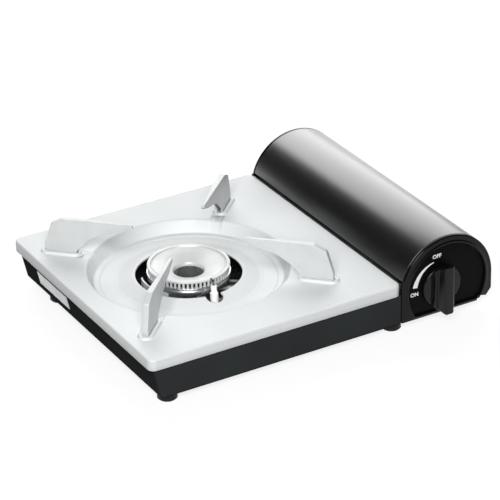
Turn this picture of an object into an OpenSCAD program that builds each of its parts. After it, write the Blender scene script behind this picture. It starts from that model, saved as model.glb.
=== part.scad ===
// Butane cassette stove: pressed top plate with a burner well and four folded
// pot supports, black tray body, and a hinged arched lid over the cartridge bay.
// Frame: +X right (cartridge side), +Y back, +Z up, millimetres.
// The origin is at the middle of the footprint, on the table.

/* [Overall] */
// Width over the tray and the lid
total_w = 368; // [352:1:388]
// Depth of the body, front to back
depth = 280; // [272:1:300]
// Height of the top plate's upper face above the table
plate_top = 50; // [48:0.5:56]
// How far the knob stands in front of the end cap
knob_reach = 16; // [12:0.5:20]

/* [Top plate] */
// Sheet thickness of the top plate
plate_t = 1.2; // [0.8:0.1:1.6]
// Height of the plate's turned-down flange
flange_h = 11; // [8:0.5:14]
// Corner radius of the plate in plan
plate_corner_r = 7; // [4:0.5:12]
// Well centre from the plate's left edge
well_from_left = 117; // [112:1:122]
// Well centre from the plate's front edge
well_from_front = 141; // [135:1:146]
// Radius of the well's upper rim
well_r = 97; // [94:1:99]
// Radius at the foot of the well's steep wall
well_foot_r = 91; // [88:0.5:92]
// Depth of the well below the plate
well_depth = 12.5; // [9:0.5:13]
// Radius where the well's floor starts to rise to the burner opening
well_ridge_r = 70; // [64:1:76]
// Radius of the burner opening
opening_r = 51; // [49:0.5:56]
// Depth of the opening's edge below the plate
opening_drop = 7; // [5:0.5:9]
// Radius of the opening's front lobe, for the spark electrode
lobe_r = 8.5; // [7:0.5:10]

/* [Pot supports] */
// Height of the pot rest above the plate
support_h = 37; // [30:0.5:40]
// Width across a folded pot support
support_w = 6; // [5:0.25:8]
// Sheet thickness of a pot support
support_t = 1.2; // [0.8:0.1:1.5]
// Distance of a support's outer edge from the burner's axis
support_outer_r = 141.5; // [138:0.5:143]
// Distance of a support's inner foot from the burner's axis
support_foot_r = 111.5; // [108:0.5:114]
// Distance of a support's tip from the burner's axis
support_tip_r = 54; // [48:0.5:60]
// Width of a support at its tip
support_tip_w = 2.6; // [2:0.2:4]
// Height of the raised collar round a support's foot
collar_h = 2.2; // [1.5:0.1:3]
// Wall of that collar
collar_w = 2.4; // [1.8:0.1:3.5]

/* [Tray] */
// Sheet thickness of the tray
tray_t = 1.2; // [0.8:0.1:1.6]
// Height of the rubber feet
foot_h = 7; // [5:0.5:9]
// Radius of the rubber feet
foot_r = 9.5; // [7:0.5:11]
// Inset of the tray's left wall at its top
tray_top_inset = 2; // [1.8:0.1:3]
// Inset of the tray's left wall at its bottom
tray_foot_inset = 11; // [8:0.5:14]
// Inset of the tray's front and back walls
tray_end_inset = 1.7; // [1.6:0.1:3]
// Height of the upturned edge on the lid's side
tray_lip_h = 5.2; // [4:0.1:6]

/* [Lid and end caps] */
// Outer radius of the lid's arch
arch_r = 51; // [50:0.5:52]
// Wall of the lid
lid_t = 1.5; // [1.2:0.1:2]
// Depth of the arch's centre below the plate's upper face
arch_drop = 14; // [13:0.5:15]
// Gap between the lid's left edge and the level of the plate
lid_edge_gap = 1.5; // [1:0.25:3]
// Thickness of an end cap's face
cap_t = 3; // [2.5:0.25:4]
// How far an end cap's sleeve reaches under the lid
sleeve_l = 8; // [6:0.5:10]
// Wall of that sleeve
sleeve_t = 2.5; // [2:0.25:3]
// Distance of the hinge from the lid's right side
hinge_inset = 8; // [8:0.25:9]
// Height of the hinge above the table
hinge_z = 18.5; // [18.5:0.25:20]
// Radius of the hinge pins
hinge_pin_r = 2.5; // [2:0.1:3]
// Width of the front end cap's ring round the control panel
ring_w = 8.2; // [7.6:0.1:10]

/* [Knob and valve] */
// Knob's distance left of the arch's centre
knob_left = 7.6; // [5:0.2:9]
// Knob's height above the tray's floor
knob_up = 30.1; // [28:0.1:32]
// Radius of the knob's round disc
knob_r = 20.7; // [18:0.1:22]
// Length of the grip that crosses the knob
grip_l = 51; // [46:0.5:53]
// Width of that grip at its front
grip_w = 8.6; // [7:0.2:12]
// How far the round disc stands in front of the end cap
disc_d = 3.2; // [2.5:0.1:4]
// Radius of the valve shaft
shaft_r = 3; // [2.5:0.1:4]
// Travel of the igniter's plunger over a quarter turn
plunger_travel = 4.5; // [3:0.25:5]

/* [Burner] */
// Radius of the burner's head
head_r = 39.3; // [37:0.1:41]
// Height of the head's rim above the plate
head_rise = 3; // [2:0.5:5]
// Radius of the burner's central air hole
bore_r = 14.3; // [12:0.1:16]
// Number of flame ports
port_n = 60; // [48:1:64]
// Width of a flame port
port_w = 1.6; // [1.2:0.1:1.8]
// Outer radius of the mixing tube
tube_r = 8.5; // [7:0.25:9]
// Height of the mixing tube's axis above the tray's floor
tube_up = 17; // [15:0.5:18]

/* [Cartridge bay] */
// Radius of the gas cartridge that the bay takes
cart_r = 33.75; // [33:0.05:34]
// Height of the cartridge's axis above the tray's floor
cart_up = 38; // [37.5:0.1:40]
// Thickness of the bulkhead between the valve and the bay
bulkhead_t = 2; // [1.5:0.25:3]
// Distance from the end cap's face to the bulkhead
bulkhead_y = 54; // [52:0.5:56]
// Radius of the valve's inlet bore
inlet_r = 7; // [6:0.25:8]
// Depth of the inlet bore
inlet_l = 9; // [8:0.5:10]

/* [Hidden] */
$fn = 96;

// Clearances
run = 0.05;   // radial, round running fits
gap = 0.3;    // between surfaces of different moving pieces
over = 1;     // how far a cutter passes the face that it cuts

// Main planes and axes
left_x = -total_w / 2;
right_x = total_w / 2;
front_y = -(depth - knob_reach) / 2;
back_y = front_y + depth;
floor_z = foot_h + tray_t;
under_z = plate_top - plate_t;
plate_right = right_x - 2 * arch_r;
well_x = left_x + well_from_left;
well_y = front_y + well_from_front;
arch_x = right_x - arch_r;
arch_z = plate_top - arch_drop;
lid_in_r = arch_r - lid_t;
sleeve_out_r = lid_in_r - gap;
panel_r = arch_r - ring_w;
hinge_x = right_x - hinge_inset;
knob_x = arch_x - knob_left;
knob_z = floor_z + knob_up;
cart_z = floor_z + cart_up;
head_top = plate_top + head_rise;
tube_z = floor_z + tube_up;

// ---------- helpers ----------

// Extrudes an outline drawn in X and Z from y0 to y1
module slab_y(y0, y1) {
    translate([0, y1, 0]) rotate([90, 0, 0]) linear_extrude(y1 - y0) children();
}

// Extrudes an outline drawn in Y and Z from x0 to x1
module slab_x(x0, x1) {
    translate([x0, 0, 0]) rotate([90, 0, 90]) linear_extrude(x1 - x0) children();
}

// Box between two corners
module box(a, b) {
    translate(a) cube(b - a);
}

// Cylinder along +Y from y0 to y1
module rod_y(x, z, r, y0, y1) {
    translate([x, y0, z]) rotate([-90, 0, 0]) cylinder(r = r, h = y1 - y0);
}

// Cylinder along +Z
module rod_z(x, y, r, z0, z1) {
    translate([x, y, z0]) cylinder(r = r, h = z1 - z0);
}

// Rectangle with round corners, from exact arcs
module round_rect(x0, y0, x1, y1, r) {
    translate([x0 + r, y0]) square([x1 - x0 - 2 * r, y1 - y0]);
    translate([x0, y0 + r]) square([x1 - x0, y1 - y0 - 2 * r]);
    for (x = [x0 + r, x1 - r], y = [y0 + r, y1 - r]) translate([x, y]) circle(r = r);
}

// Screw with a pan head: head_r round the axis below z0, shank up to z1
module screw_z(x, y, r, z0, z1) {
    rod_z(x, y, 2 * r, z0 - 0.9 * r, z0);
    rod_z(x, y, r, z0 - 0.1, z1);
}

// Points of a polyline moved sideways by d, to the right of its direction
function turn(a) = [a[1], -a[0]] / norm(a);
function shifted(p, d) = [for (i = [0 : len(p) - 1])
    let (
        a = i == 0 ? p[1] - p[0] : p[i] - p[i - 1],
        b = i == len(p) - 1 ? a : p[i + 1] - p[i],
        m = turn(a) + turn(b)
    )
    p[i] + m * (2 * d / (m * m))];
function flipped(p) = [for (i = [len(p) - 1 : -1 : 0]) p[i]];

// ---------- tray ----------

tray_slope = (tray_foot_inset - tray_top_inset) / (under_z - foot_h);
bay_in = 7;            // from the hinge's axis to the edge of the tray's floor
bay_right = hinge_x - bay_in;
lip_top = foot_h + tray_lip_h + tray_t;
cap_left = plate_right + gap;

// Solid shape of the tray, drawn in by d on its walls and floor; its corners stay
// inside the round corners of the plate's flange
module tray_block(d, top) {
    e = plate_t + gap + d;
    intersection() {
        slab_y(front_y + tray_end_inset + d, back_y - tray_end_inset - d)
            polygon([
                [left_x + tray_foot_inset + d - tray_slope * d, foot_h + d],
                [bay_right - d, foot_h + d],
                [bay_right - d, top],
                [left_x + tray_foot_inset + d - tray_slope * (top - foot_h), top]
            ]);
        translate([0, 0, foot_h - over]) linear_extrude(top - foot_h + 2 * over)
            round_rect(left_x + e, front_y + e, right_x + plate_corner_r, back_y - e, plate_corner_r - e);
    }
}

vent_n = 5;
vent_pitch = 10;
vent_l = 40;
vent_w = 5;
vent_side = 62;        // from the burner's axis to the middle of a bank of vents
vent_from_well = 76;   // from the burner's axis to the first vent

// Space the plate's flange takes at its two right corners, where the tray's walls end lower
module flange_corners() {
    e = plate_t + gap;
    translate([0, 0, plate_top - flange_h - gap]) linear_extrude(flange_h) difference() {
        translate([plate_right - plate_corner_r, front_y - over])
            square([plate_corner_r + over, back_y - front_y + 2 * over]);
        round_rect(left_x + e, front_y + e, plate_right - e, back_y - e, plate_corner_r - e);
    }
}

module body_tray() color("#1c1d1e") difference() {
    tray_block(0, under_z);
    tray_block(tray_t, under_z + over);
    // beside the plate only the floor and its right lip stay
    box([plate_right - 0.01, front_y - over, floor_z], [bay_right - tray_t, back_y + over, under_z + over]);
    flange_corners();
    box([bay_right - tray_t - over, front_y - over, lip_top],
        [bay_right + over, back_y + over, under_z + over]);
    box([bay_right - tray_t - over, front_y - over, floor_z],
        [bay_right + over, front_y + cap_t + sleeve_l, under_z]);
    box([bay_right - tray_t - over, back_y - cap_t - sleeve_l, floor_z],
        [bay_right + over, back_y + over, under_z]);
    foot_holes();
    for (p = pillar_spots) rod_z(p[0], p[1], screw_r + run, foot_h - over, floor_z + over);
    for (p = cap_screw_spots) rod_z(p[0], p[1], screw_r + run, foot_h - over, floor_z + over);
    // air vents in the floor behind the burner
    for (side = [-1, 1], i = [0 : vent_n - 1])
        translate([well_x + side * vent_side - vent_l / 2, well_y + vent_from_well + i * vent_pitch,
            foot_h - over])
            cube([vent_l, vent_w, tray_t + 2 * over]);
}

// ---------- feet ----------

foot_in_left = 22.5;   // feet from the plate's left, right, front and back edges
foot_in_right = 3.5;
foot_in_front = 13;
foot_in_back = 50;
foot_spots = [for (y = [front_y + foot_in_front, back_y - foot_in_back],
    x = [left_x + foot_in_left, plate_right - foot_in_right]) [x, y]];
neck_r = 3.5;
neck_barb = 1;
barb_h = 3;

module foot_holes() {
    for (p = foot_spots) rod_z(p[0], p[1], neck_r + run, foot_h - over, floor_z + over);
}

// Pillars that hold the plate, from its left, right, front and back edges
pillar_r = 4;
pillar_left = 17;
pillar_right = 14;
pillar_front = 31;
pillar_back = 22;
pillar_spots = [for (x = [left_x + pillar_left, plate_right - pillar_right],
    y = [front_y + pillar_front, back_y - pillar_back]) [x, y]];

// Push-in rubber foot: pad, neck through the floor and a barb above it
module foot(p) color("#161616") translate([p[0], p[1], 0]) rotate_extrude() polygon([
    [0, 0], [foot_r - 1.5, 0], [foot_r, 1.5], [foot_r - 0.5, foot_h], [neck_r, foot_h],
    [neck_r, floor_z], [neck_r + neck_barb, floor_z], [neck_r - 0.5, floor_z + barb_h],
        [0, floor_z + barb_h]]);

// ---------- top plate ----------

// Upper face of the well, from its rim to the edge of the burner opening
well_line = [
    [well_r, 0],
    [well_foot_r + 0.4, -well_depth + 1.4],
    [well_foot_r - 1, -well_depth + 0.4],
    [well_foot_r - 5, -well_depth + 0.2],
    [well_foot_r - 7, -well_depth - 0.8],
    [well_ridge_r, -well_depth - 0.4],
    [well_ridge_r - 3, -well_depth + 0.3],
    [opening_r + 3, -opening_drop - 0.2],
    [opening_r + 1.2, -opening_drop],
    [opening_r, -opening_drop - 1]
];
well_under = shifted(well_line, -plate_t);
lobe_at = [-2.5, -opening_r - 2];
collar_clear = 0.5;
support_angles = [225, 315, 135, 45];

// Racetrack along +X between two radii from the axis
module track(r0, r1, w) {
    translate([r0, -w / 2]) square([r1 - r0, w]);
    for (r = [r0, r1]) translate([r, 0]) circle(d = w);
}

module collar_ring() {
    w = support_w + 2 * collar_clear;
    difference() {
        track(support_foot_r + 2, support_outer_r - 2, w + 2 * collar_w);
        translate([support_foot_r - 3, -w / 2])
            square([support_outer_r - support_foot_r + 3 + collar_clear, w]);
    }
}

module top_plate() color("#d9dcdd") difference() {
    union() {
        difference() {
            translate([0, 0, plate_top - flange_h]) linear_extrude(flange_h)
                round_rect(left_x, front_y, plate_right, back_y, plate_corner_r);
            translate([0, 0, plate_top - flange_h - over]) linear_extrude(flange_h + over - plate_t)
                round_rect(left_x + plate_t, front_y + plate_t, plate_right - plate_t,
                    back_y - plate_t, plate_corner_r - plate_t);
            rod_z(well_x, well_y, well_r, under_z - over, plate_top + over);
        }
        translate([well_x, well_y, plate_top]) rotate_extrude() polygon(concat(
            well_line, flipped(concat([[well_r + 0.4, -plate_t]],
                [for (i = [1 : len(well_under) - 1]) well_under[i]])),
            [[well_r + 0.4, -0.2]]));
        for (a = support_angles)
            translate([well_x, well_y, plate_top - 0.1]) rotate([0, 0, a])
                linear_extrude(collar_h + 0.1) collar_ring();
    }
    for (a = support_angles)
        translate([well_x, well_y, under_z - over]) rotate([0, 0, a])
            linear_extrude(plate_t + 2 * over)
                translate([tab_r0 - run, -support_w / 2 - run])
                    square([tab_l + 2 * run, support_w + 2 * run]);
    translate([well_x + lobe_at[0], well_y + lobe_at[1], plate_top - well_depth - 2 * over])
        cylinder(r = lobe_r, h = well_depth + 2 * over - 3);
}

// ---------- pot supports ----------

tab_in = 5;            // from a support's inner foot to its tabs
tab_r0 = support_foot_r + tab_in;
tab_l = 20;
tab_drop = 4;
// Side of a support: distance from the burner's axis and height above the plate
support_side = [
    [support_foot_r, 0], [support_outer_r, 0], [support_outer_r, 9.5],
    [support_outer_r - 6.5, support_h - 6], [support_outer_r - 19, support_h],
    [support_tip_r + 1, support_h - 0.5], [support_tip_r, support_h - 1.5],
    [support_tip_r + 1, support_h - 4], [support_tip_r + 14, support_h - 9],
    [support_foot_r - 23.5, 23], [support_foot_r - 11.5, 15], [support_foot_r - 2.5, 6]
];

// Plan of a support, each side drawn in by d
module support_plan(d) {
    polygon([
        [support_tip_r - over, d - support_tip_w / 2], [support_outer_r - 19, d - support_w / 2],
        [support_outer_r + over, d - support_w / 2], [support_outer_r + over, support_w / 2 - d],
        [support_outer_r - 19, support_w / 2 - d], [support_tip_r - over, support_tip_w / 2 - d]]);
}

// Outline in the side view, carried across the support's width
module support_slab() {
    translate([0, support_w / 2, 0]) rotate([90, 0, 0]) linear_extrude(support_w) children();
}

// Sheet folded over its top and outer edges, open below, narrowing to the tip
module pot_support(a) color("#c9cccd") translate([well_x, well_y, plate_top]) rotate([0, 0, a]) {
    t = support_t;
    difference() {
        intersection() {
            support_slab() polygon(support_side);
            translate([0, 0, -over]) linear_extrude(support_h + 2 * over) support_plan(0);
        }
        // space between the two folded sides
        intersection() {
            support_slab() polygon([
                [support_tip_r + 26, 0], [support_foot_r, -over], [support_outer_r - t, -over],
                [support_outer_r - t, 9.3], [support_outer_r - 6.5 - t, support_h - 6.6],
                [support_outer_r - 19.3, support_h - t], [support_tip_r + 26, support_h - 0.4 - t]]);
            translate([0, 0, -2 * over]) linear_extrude(support_h + 3 * over) support_plan(t);
        }
    }
    // tabs through the plate
    for (side = [-1, 1])
        translate([tab_r0, side > 0 ? support_w / 2 - t : -support_w / 2, -tab_drop])
            cube([tab_l, t, tab_drop + 0.01]);
}

// ---------- end caps, panel and bulkhead ----------

// Half disc above the arch's centre, from x0 rightwards
module half_disc(r, x0) {
    intersection() {
        translate([arch_x, arch_z]) circle(r = r);
        translate([x0, arch_z]) square([right_x + over - x0, r + over]);
    }
}

corner_x = 2;          // lower corner beside the hinge, from the hinge's axis
corner_z = 7.5;

// Outline of an end cap in X and Z
module cap_outline() {
    half_disc(arch_r, cap_left);
    polygon([
        [cap_left, floor_z], [bay_right - 1, floor_z], [bay_right, lip_top],
        [hinge_x + corner_x, hinge_z - corner_z], [right_x, hinge_z - 0.5], [right_x, arch_z],
        [arch_x, arch_z + 1], [cap_left + 4, plate_top - 0.2], [cap_left, plate_top - 0.2]
    ]);
}

// Ring sector under the lid: left end above the plate, right end above the hinge
module sleeve_outline() {
    difference() {
        half_disc(sleeve_out_r, left_x);
        translate([arch_x, arch_z]) circle(r = sleeve_out_r - sleeve_t);
        translate([arch_x - arch_r, arch_z - over]) square([arch_r, plate_top - arch_z + over]);
    }
}

cap_foot_left = 14;    // end of an end cap's foot, from the plate's right edge
cap_foot_right = 20;   // its other end, from the edge of the tray's floor
cap_foot_x = [plate_right + cap_foot_left, bay_right - cap_foot_right];
cap_foot_l = 12;
cap_foot_h = 4;
screw_r = 1.7;
cap_screw_in = 8;
cap_screw_spots = [for (x = [cap_foot_x[0] + 2.5 * cap_screw_in, cap_foot_x[1] - cap_screw_in],
    y = [front_y + cap_t + cap_foot_l / 2, back_y - cap_t - cap_foot_l / 2]) [x, y]];

module cap_foot(y0) {
    difference() {
        box([cap_foot_x[0], y0, floor_z], [cap_foot_x[1], y0 + cap_foot_l, floor_z + cap_foot_h]);
        for (p = cap_screw_spots)
            rod_z(p[0], p[1], screw_r + run, floor_z - over, floor_z + cap_foot_h + over);
    }
}

panel_up = 4.6;        // lower edge of the control panel above the tray's floor
panel_floor_z = floor_z + panel_up;
// Outline of the control panel, drawn out by d, clear of the hinge pin
module panel_outline(d) {
    difference() {
        translate([arch_x, arch_z]) circle(r = panel_r + d);
        translate([arch_x - arch_r, panel_floor_z - d - arch_r]) square([2 * arch_r, arch_r]);
        translate([hinge_x, hinge_z]) circle(r = hinge_pin_r + hinge_wall - d / 2);
    }
}

module front_end_cap() color("#18191a") difference() {
    union() {
        slab_y(front_y, front_y + cap_t) cap_outline();
        slab_y(front_y + cap_t - 0.1, front_y + cap_t + sleeve_l) sleeve_outline();
        cap_foot(front_y + cap_t - 0.1);
    }
    slab_y(front_y - over, front_y + cap_t + over) panel_outline(0.2);
    rod_y(hinge_x, hinge_z, hinge_pin_r + run / 2, front_y - over, front_y + cap_t + over);
}

module rear_end_cap() color("#18191a") difference() {
    union() {
        slab_y(back_y - cap_t, back_y) cap_outline();
        slab_y(back_y - cap_t - sleeve_l, back_y - cap_t + 0.1) sleeve_outline();
        cap_foot(back_y - cap_t - cap_foot_l + 0.1);
    }
    rod_y(hinge_x, hinge_z, hinge_pin_r + run / 2, back_y - cap_t - over, back_y + over);
}

panel_recess = 1.2;
panel_lip_t = 2;
panel_lip_w = 2;
hinge_wall = 1;        // wall left round a hinge pin
lid_corner_r = norm([max(hinge_inset, corner_z), corner_x]);

module control_panel() color("#141415") difference() {
    union() {
        slab_y(front_y + panel_recess, front_y + cap_t + 0.1) panel_outline(0);
        slab_y(front_y + cap_t, front_y + cap_t + panel_lip_t) difference() {
            panel_outline(panel_lip_w);
            square([2 * total_w, 2 * (floor_z + cap_foot_h + gap)], center = true);
        }
    }
    rod_y(knob_x, knob_z, shaft_r + shaft_room, front_y - over, front_y + cap_t + panel_lip_t + over);
    // behind the end cap, the lid's lower corner passes round the hinge
    rod_y(hinge_x, hinge_z, lid_corner_r + gap, front_y + cap_t, front_y + cap_t + panel_lip_t + over);
}

bulk_y0 = front_y + bulkhead_y;
bulk_y1 = bulk_y0 + bulkhead_t;
socket_r = inlet_r + 3;

module bay_bulkhead() color("#2a2b2c") difference() {
    slab_y(bulk_y0, bulk_y1) difference() {
        union() {
            intersection() {
                half_disc(sleeve_out_r, left_x);
                polygon([
                    [bulk_x0, arch_z - over], [right_x, arch_z - over], [right_x, arch_z + arch_r],
                    [arch_x - arch_r, arch_z + arch_r], [arch_x - arch_r, bulk_z], [bulk_x0, bulk_z]
                ]);
            }
            polygon([
                [bulk_x0, floor_z], [bulk_x1, floor_z], [bulk_x1, hinge_clear_z],
                [arch_x + sleeve_out_r, hinge_clear_z], [arch_x + sleeve_out_r, arch_z],
                [arch_x, arch_z + 1], [bulk_x0, arch_z + 1]
            ]);
        }
        translate([arch_x, cart_z]) circle(r = socket_r + run);
    }
    for (p = governor_screw_spots) rod_y(p[0], p[1], screw_r + run, bulk_y0 - over, bulk_y1 + over);
    rod_y(ejector_x, cart_z, ejector_r + 0.4, bulk_y0 - over, bulk_y1 + over);
}

// ---------- partition, rails and heat plate ----------

part_in = 1.4;         // from the plate's right edge to the partition
part_x = plate_right + part_in;
part_t = 1;
part_flange = 5;
slot_w = 8;            // slot for the ignition lead
slot_h = 7;

// Edges of the bulkhead beside the partition and the hinge
bulk_x0 = part_x + part_flange + gap;
bulk_x1 = bay_right - tray_t - gap;
bulk_z = plate_top + lid_edge_gap + 3;
hinge_up = 11;         // height above the hinge up to which the bulkhead keeps clear of the lid
hinge_clear_z = hinge_z + hinge_up;

module partition_wall() color("#b9bcbd") difference() {
    union() {
        box([part_x, front_y + cap_t + 0.2, floor_z],
            [part_x + part_t, back_y - cap_t - 0.2, under_z - gap]);
        box([part_x, front_y + cap_t + sleeve_l + 1, under_z - gap - part_t],
            [part_x + part_flange, back_y - cap_t - sleeve_l - 1, under_z - gap]);
    }
    mixing_axis() cylinder(r = tube_r + 0.7, h = tube_l + 60, center = false);
    box([part_x - over, heat_y0 - 0.2, floor_z - over],
        [part_x + part_t + over, heat_y1 + 0.2, floor_z + heat_t + 0.2]);
    box([part_x - over, lead_slot_y, floor_z - over],
        [part_x + part_t + over, lead_slot_y + slot_w, floor_z + slot_h]);
}

rail_off = 22;         // from the cartridge's axis to a rail
rail_w = 5;
rail_h = 15;
rail_in = 10;          // from the bulkhead to the rails
tie_w = 8;             // cross ties between the rails
tie_t = 1.8;
tie_in = 20;
rail_y0 = bulk_y1 + rail_in;
rail_y1 = back_y - cap_t - cap_foot_l - 4;

// Two moulded rails whose inner edges follow the cartridge
module cartridge_rails() color("#2c2d2e") difference() {
    union() {
        for (side = [-1, 1]) {
            x = arch_x + side * rail_off;
            box([x - rail_w / 2, rail_y0, floor_z], [x + rail_w / 2, rail_y1, floor_z + rail_h]);
        }
        for (y = [rail_y0 + tie_in, rail_y1 - tie_in])
            box([arch_x - rail_off, y - tie_w / 2, floor_z],
                [arch_x + rail_off, y + tie_w / 2, floor_z + tie_t]);
    }
    rod_y(arch_x, cart_z, cart_r + 0.5, rail_y0 - over, rail_y1 + over);
    box([arch_x - rail_off - 10, heat_y0 - 0.2, floor_z - over],
        [arch_x + rail_off + 10, heat_y1 + 0.2, floor_z + heat_t + 0.15]);
}

heat_t = 1.2;
heat_w = 40;
heat_from_well = 30;   // from the burner's axis to the strip's edge
heat_up = 20;          // height of its upturned end
heat_in = 14;          // from the burner's axis to that end
heat_past = 20;        // how far it runs past the cartridge's axis
heat_y0 = well_y + heat_from_well;
heat_y1 = heat_y0 + heat_w;

// Aluminium strip that carries burner heat to the cartridge
module heat_plate() color("#d5d7d8") {
    box([well_x + heat_in, heat_y0, floor_z], [arch_x + heat_past, heat_y1, floor_z + heat_t]);
    box([well_x + heat_in, heat_y0, floor_z + heat_t - 0.1],
        [well_x + heat_in + heat_t, heat_y1, floor_z + heat_up]);
}

// ---------- burner ----------

base_up = 8;
cap_h = 7;
bowl_in = 11.3;
base_z = floor_z + base_up;      // underside of the burner body
seat_z = head_top - cap_h;       // face on which the cap sits
bowl_r = head_r - bowl_in;       // outer radius of the lower bowl
casting_t = 2;                   // wall of the castings
skirt_low = 9;                   // height of the rounded base ring below the seat

module burner_body() color("#bfc1c1") difference() {
    translate([well_x, well_y, 0]) rotate_extrude() polygon([
        [bore_r, base_z], [bowl_r, base_z], [bowl_r, seat_z - skirt_low - 3],
        [head_r - 6, seat_z - skirt_low], [head_r - 2, seat_z - skirt_low + 2.5],
        [head_r - 0.4, seat_z - skirt_low + 6], [head_r - 0.4, seat_z - 1.2],
        [head_r + 0.8, seat_z - 1.2], [head_r + 0.8, seat_z],
        [head_r - 0.4 - casting_t, seat_z], [head_r - 0.4 - casting_t, seat_z - skirt_low + 6.5],
        [head_r - 6 - casting_t, seat_z - skirt_low + 2], [bowl_r - casting_t, seat_z - skirt_low - 1],
        [bowl_r - casting_t, base_z + casting_t], [bore_r + casting_t, base_z + casting_t],
        [bore_r + casting_t, seat_z - 4], [bore_r, seat_z - 4]
    ]);
    mixing_axis() translate([0, 0, -over]) cylinder(r = tube_r + run, h = 60);
    for (p = burner_screw_spots) rod_z(p[0], p[1], screw_r + run, base_z - over, base_z + casting_t + over);
}

module burner_cap() color("#dcdedf") translate([well_x, well_y, 0]) difference() {
    rotate_extrude() polygon([
        [bore_r, seat_z - 4 + 0.1], [bore_r + casting_t, seat_z - 4 + 0.1],
            [bore_r + casting_t + 1, seat_z - 2.4],
        [head_r - 6, seat_z + 2], [head_r - 2.4, seat_z + 2], [head_r - 2.4, seat_z],
        [head_r - 0.4, seat_z], [head_r - 0.4, seat_z + 5], [head_r, seat_z + 5.6],
        [head_r - 0.6, head_top - 0.3], [head_r - 1.6, head_top], [head_r - 3.4, head_top - 0.2],
        [head_r - 4.4, head_top - 1.3], [head_r - 5.4, head_top - 0.9],
        [head_r - 12, head_top - 3.2], [bore_r + 4, head_top - 6.6], [bore_r + 0.6, head_top - 7.6],
        [bore_r, head_top - 8.4]
    ]);
    // flame ports through the skirt
    for (i = [0 : port_n - 1])
        rotate([0, 0, (i + 0.5) * 360 / port_n])
            translate([head_r - 4, -port_w / 2, seat_z - 0.01]) cube([6, port_w, 4.6]);
}

bracket_t = 1.5;
bracket_half = 46;     // half length of the strap
bracket_w = 42;
shield_back = 26;      // extent of the curved shield along Y
shield_l = 40;
shield_drop = 7;       // its top edge below the plate
burner_screw_in = 5.5; // from the bowl's side to a screw
burner_screw_spots = [for (side = [-1, 1]) [well_x + side * (bowl_r - burner_screw_in), well_y]];

// Pressed strap that carries the burner, with a curved shield on its left
module burner_bracket() color("#c8c9ca") difference() {
    union() {
        box([well_x - bracket_half, well_y - bracket_w / 2, base_z - bracket_t],
            [well_x + bracket_half, well_y + bracket_w / 2, base_z]);
        for (side = [-1, 1])
            translate([well_x + side * (bracket_half - bracket_t / 2) - bracket_t / 2,
                well_y - bracket_w / 2, floor_z])
                cube([bracket_t, bracket_w, base_z - floor_z]);
        translate([well_x, well_y, base_z - bracket_t]) intersection() {
            difference() {
                cylinder(r = bracket_half, h = plate_top - shield_drop - base_z + bracket_t);
                translate([0, 0, -over]) cylinder(r = bracket_half - bracket_t, h = plate_top);
            }
            translate([-bracket_half - over, -shield_back, 0])
                cube([bracket_half / 2, shield_l, plate_top]);
        }
    }
    rod_z(well_x, well_y, bore_r + 1, floor_z, base_z + over);
    for (p = burner_screw_spots) rod_z(p[0], p[1], screw_r + run, base_z - bracket_t - over, base_z + over);
}

module burner_screws() color("#a9abad")
    for (p = burner_screw_spots) screw_z(p[0], p[1], screw_r, base_z - bracket_t, base_z + 6);

// ---------- mixing tube and nozzle ----------

gov_left = 28;         // governor's sides from the cartridge's axis
gov_right = 24;
gov_rise = 14;
gov_under = 5;         // its underside above the tray's floor
gov_in = 17;           // its front behind the end cap's face
tube_short = 12;       // from the mixing tube's end to the governor
tube_off = 6;          // end of the tube's axis behind the governor's middle
gov_x0 = arch_x - gov_left;
gov_x1 = arch_x + gov_right;
gov_y0 = front_y + gov_in;
gov_z1 = cart_z + gov_rise;
tube_end = [gov_x0 - tube_short, (gov_y0 + bulk_y0) / 2 + tube_off];
tube_dir = tube_end - [well_x, well_y];
tube_yaw = atan2(tube_dir[1], tube_dir[0]);
tube_from = bowl_r - 6;
tube_l = norm(tube_dir) - tube_from;
tube_t = 1;
boss_r = tube_r - tube_t - run;
boss_in = 6;

// Places children with +Z running along the mixing tube, from the burner to the valve
module mixing_axis() {
    translate([well_x, well_y, tube_z]) rotate([0, 90, tube_yaw]) translate([0, 0, tube_from]) children();
}

module mixing_tube() color("#8d8f90") mixing_axis() difference() {
    cylinder(r = tube_r, h = tube_l);
    translate([0, 0, -over]) cylinder(r = tube_r - tube_t, h = tube_l + 2 * over);
    // air windows beside the nozzle
    for (side = [-1, 1])
        translate([-3, side > 0 ? 2 : -tube_r - over, tube_l - boss_in - 16])
            cube([6, tube_r + over - 2, 12]);
}

nozzle_l = 7;

module gas_nozzle() color("#c9a24a") mixing_axis() translate([0, 0, tube_l - boss_in]) difference() {
    union() {
        translate([0, 0, -nozzle_l]) cylinder(r1 = 1.6, r2 = 3, h = 3);
        translate([0, 0, -nozzle_l + 3]) cylinder(r = 4, h = nozzle_l - 3, $fn = 6);
    }
    translate([0, 0, -nozzle_l - over]) cylinder(r = 0.5, h = nozzle_l + 2 * over);
}

// ---------- governor ----------

gov_screw_x = 19.5;    // governor screws from the cartridge's axis
gov_screw_low = 19;
gov_screw_high = 9;
governor_screw_spots = [[arch_x - gov_screw_x, cart_z - gov_screw_low],
    [arch_x + gov_screw_x, cart_z - gov_screw_low],
    [arch_x + gov_screw_x, cart_z + gov_screw_high]];
needle_r = 2;
needle_l = 6;
needle_back = 3;
needle_bore = 15;
shaft_in = 12;
ejector_off = 15.5;
ejector_x = arch_x - ejector_off;
ejector_r = 1.6;
ejector_travel = 3;
ejector_in = 10;       // depth of the ejector pin and of the screws in the governor
gov_screw_in = 8;
shaft_room = 2;        // radial room round the shaft in the control panel
cover_r = 8;           // round diaphragm cover: its spigot, its flange and its boss
cover_flange_r = 10.5;
cover_boss_r = 7;
cover_t = 3;
cover_drop = 5;

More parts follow.
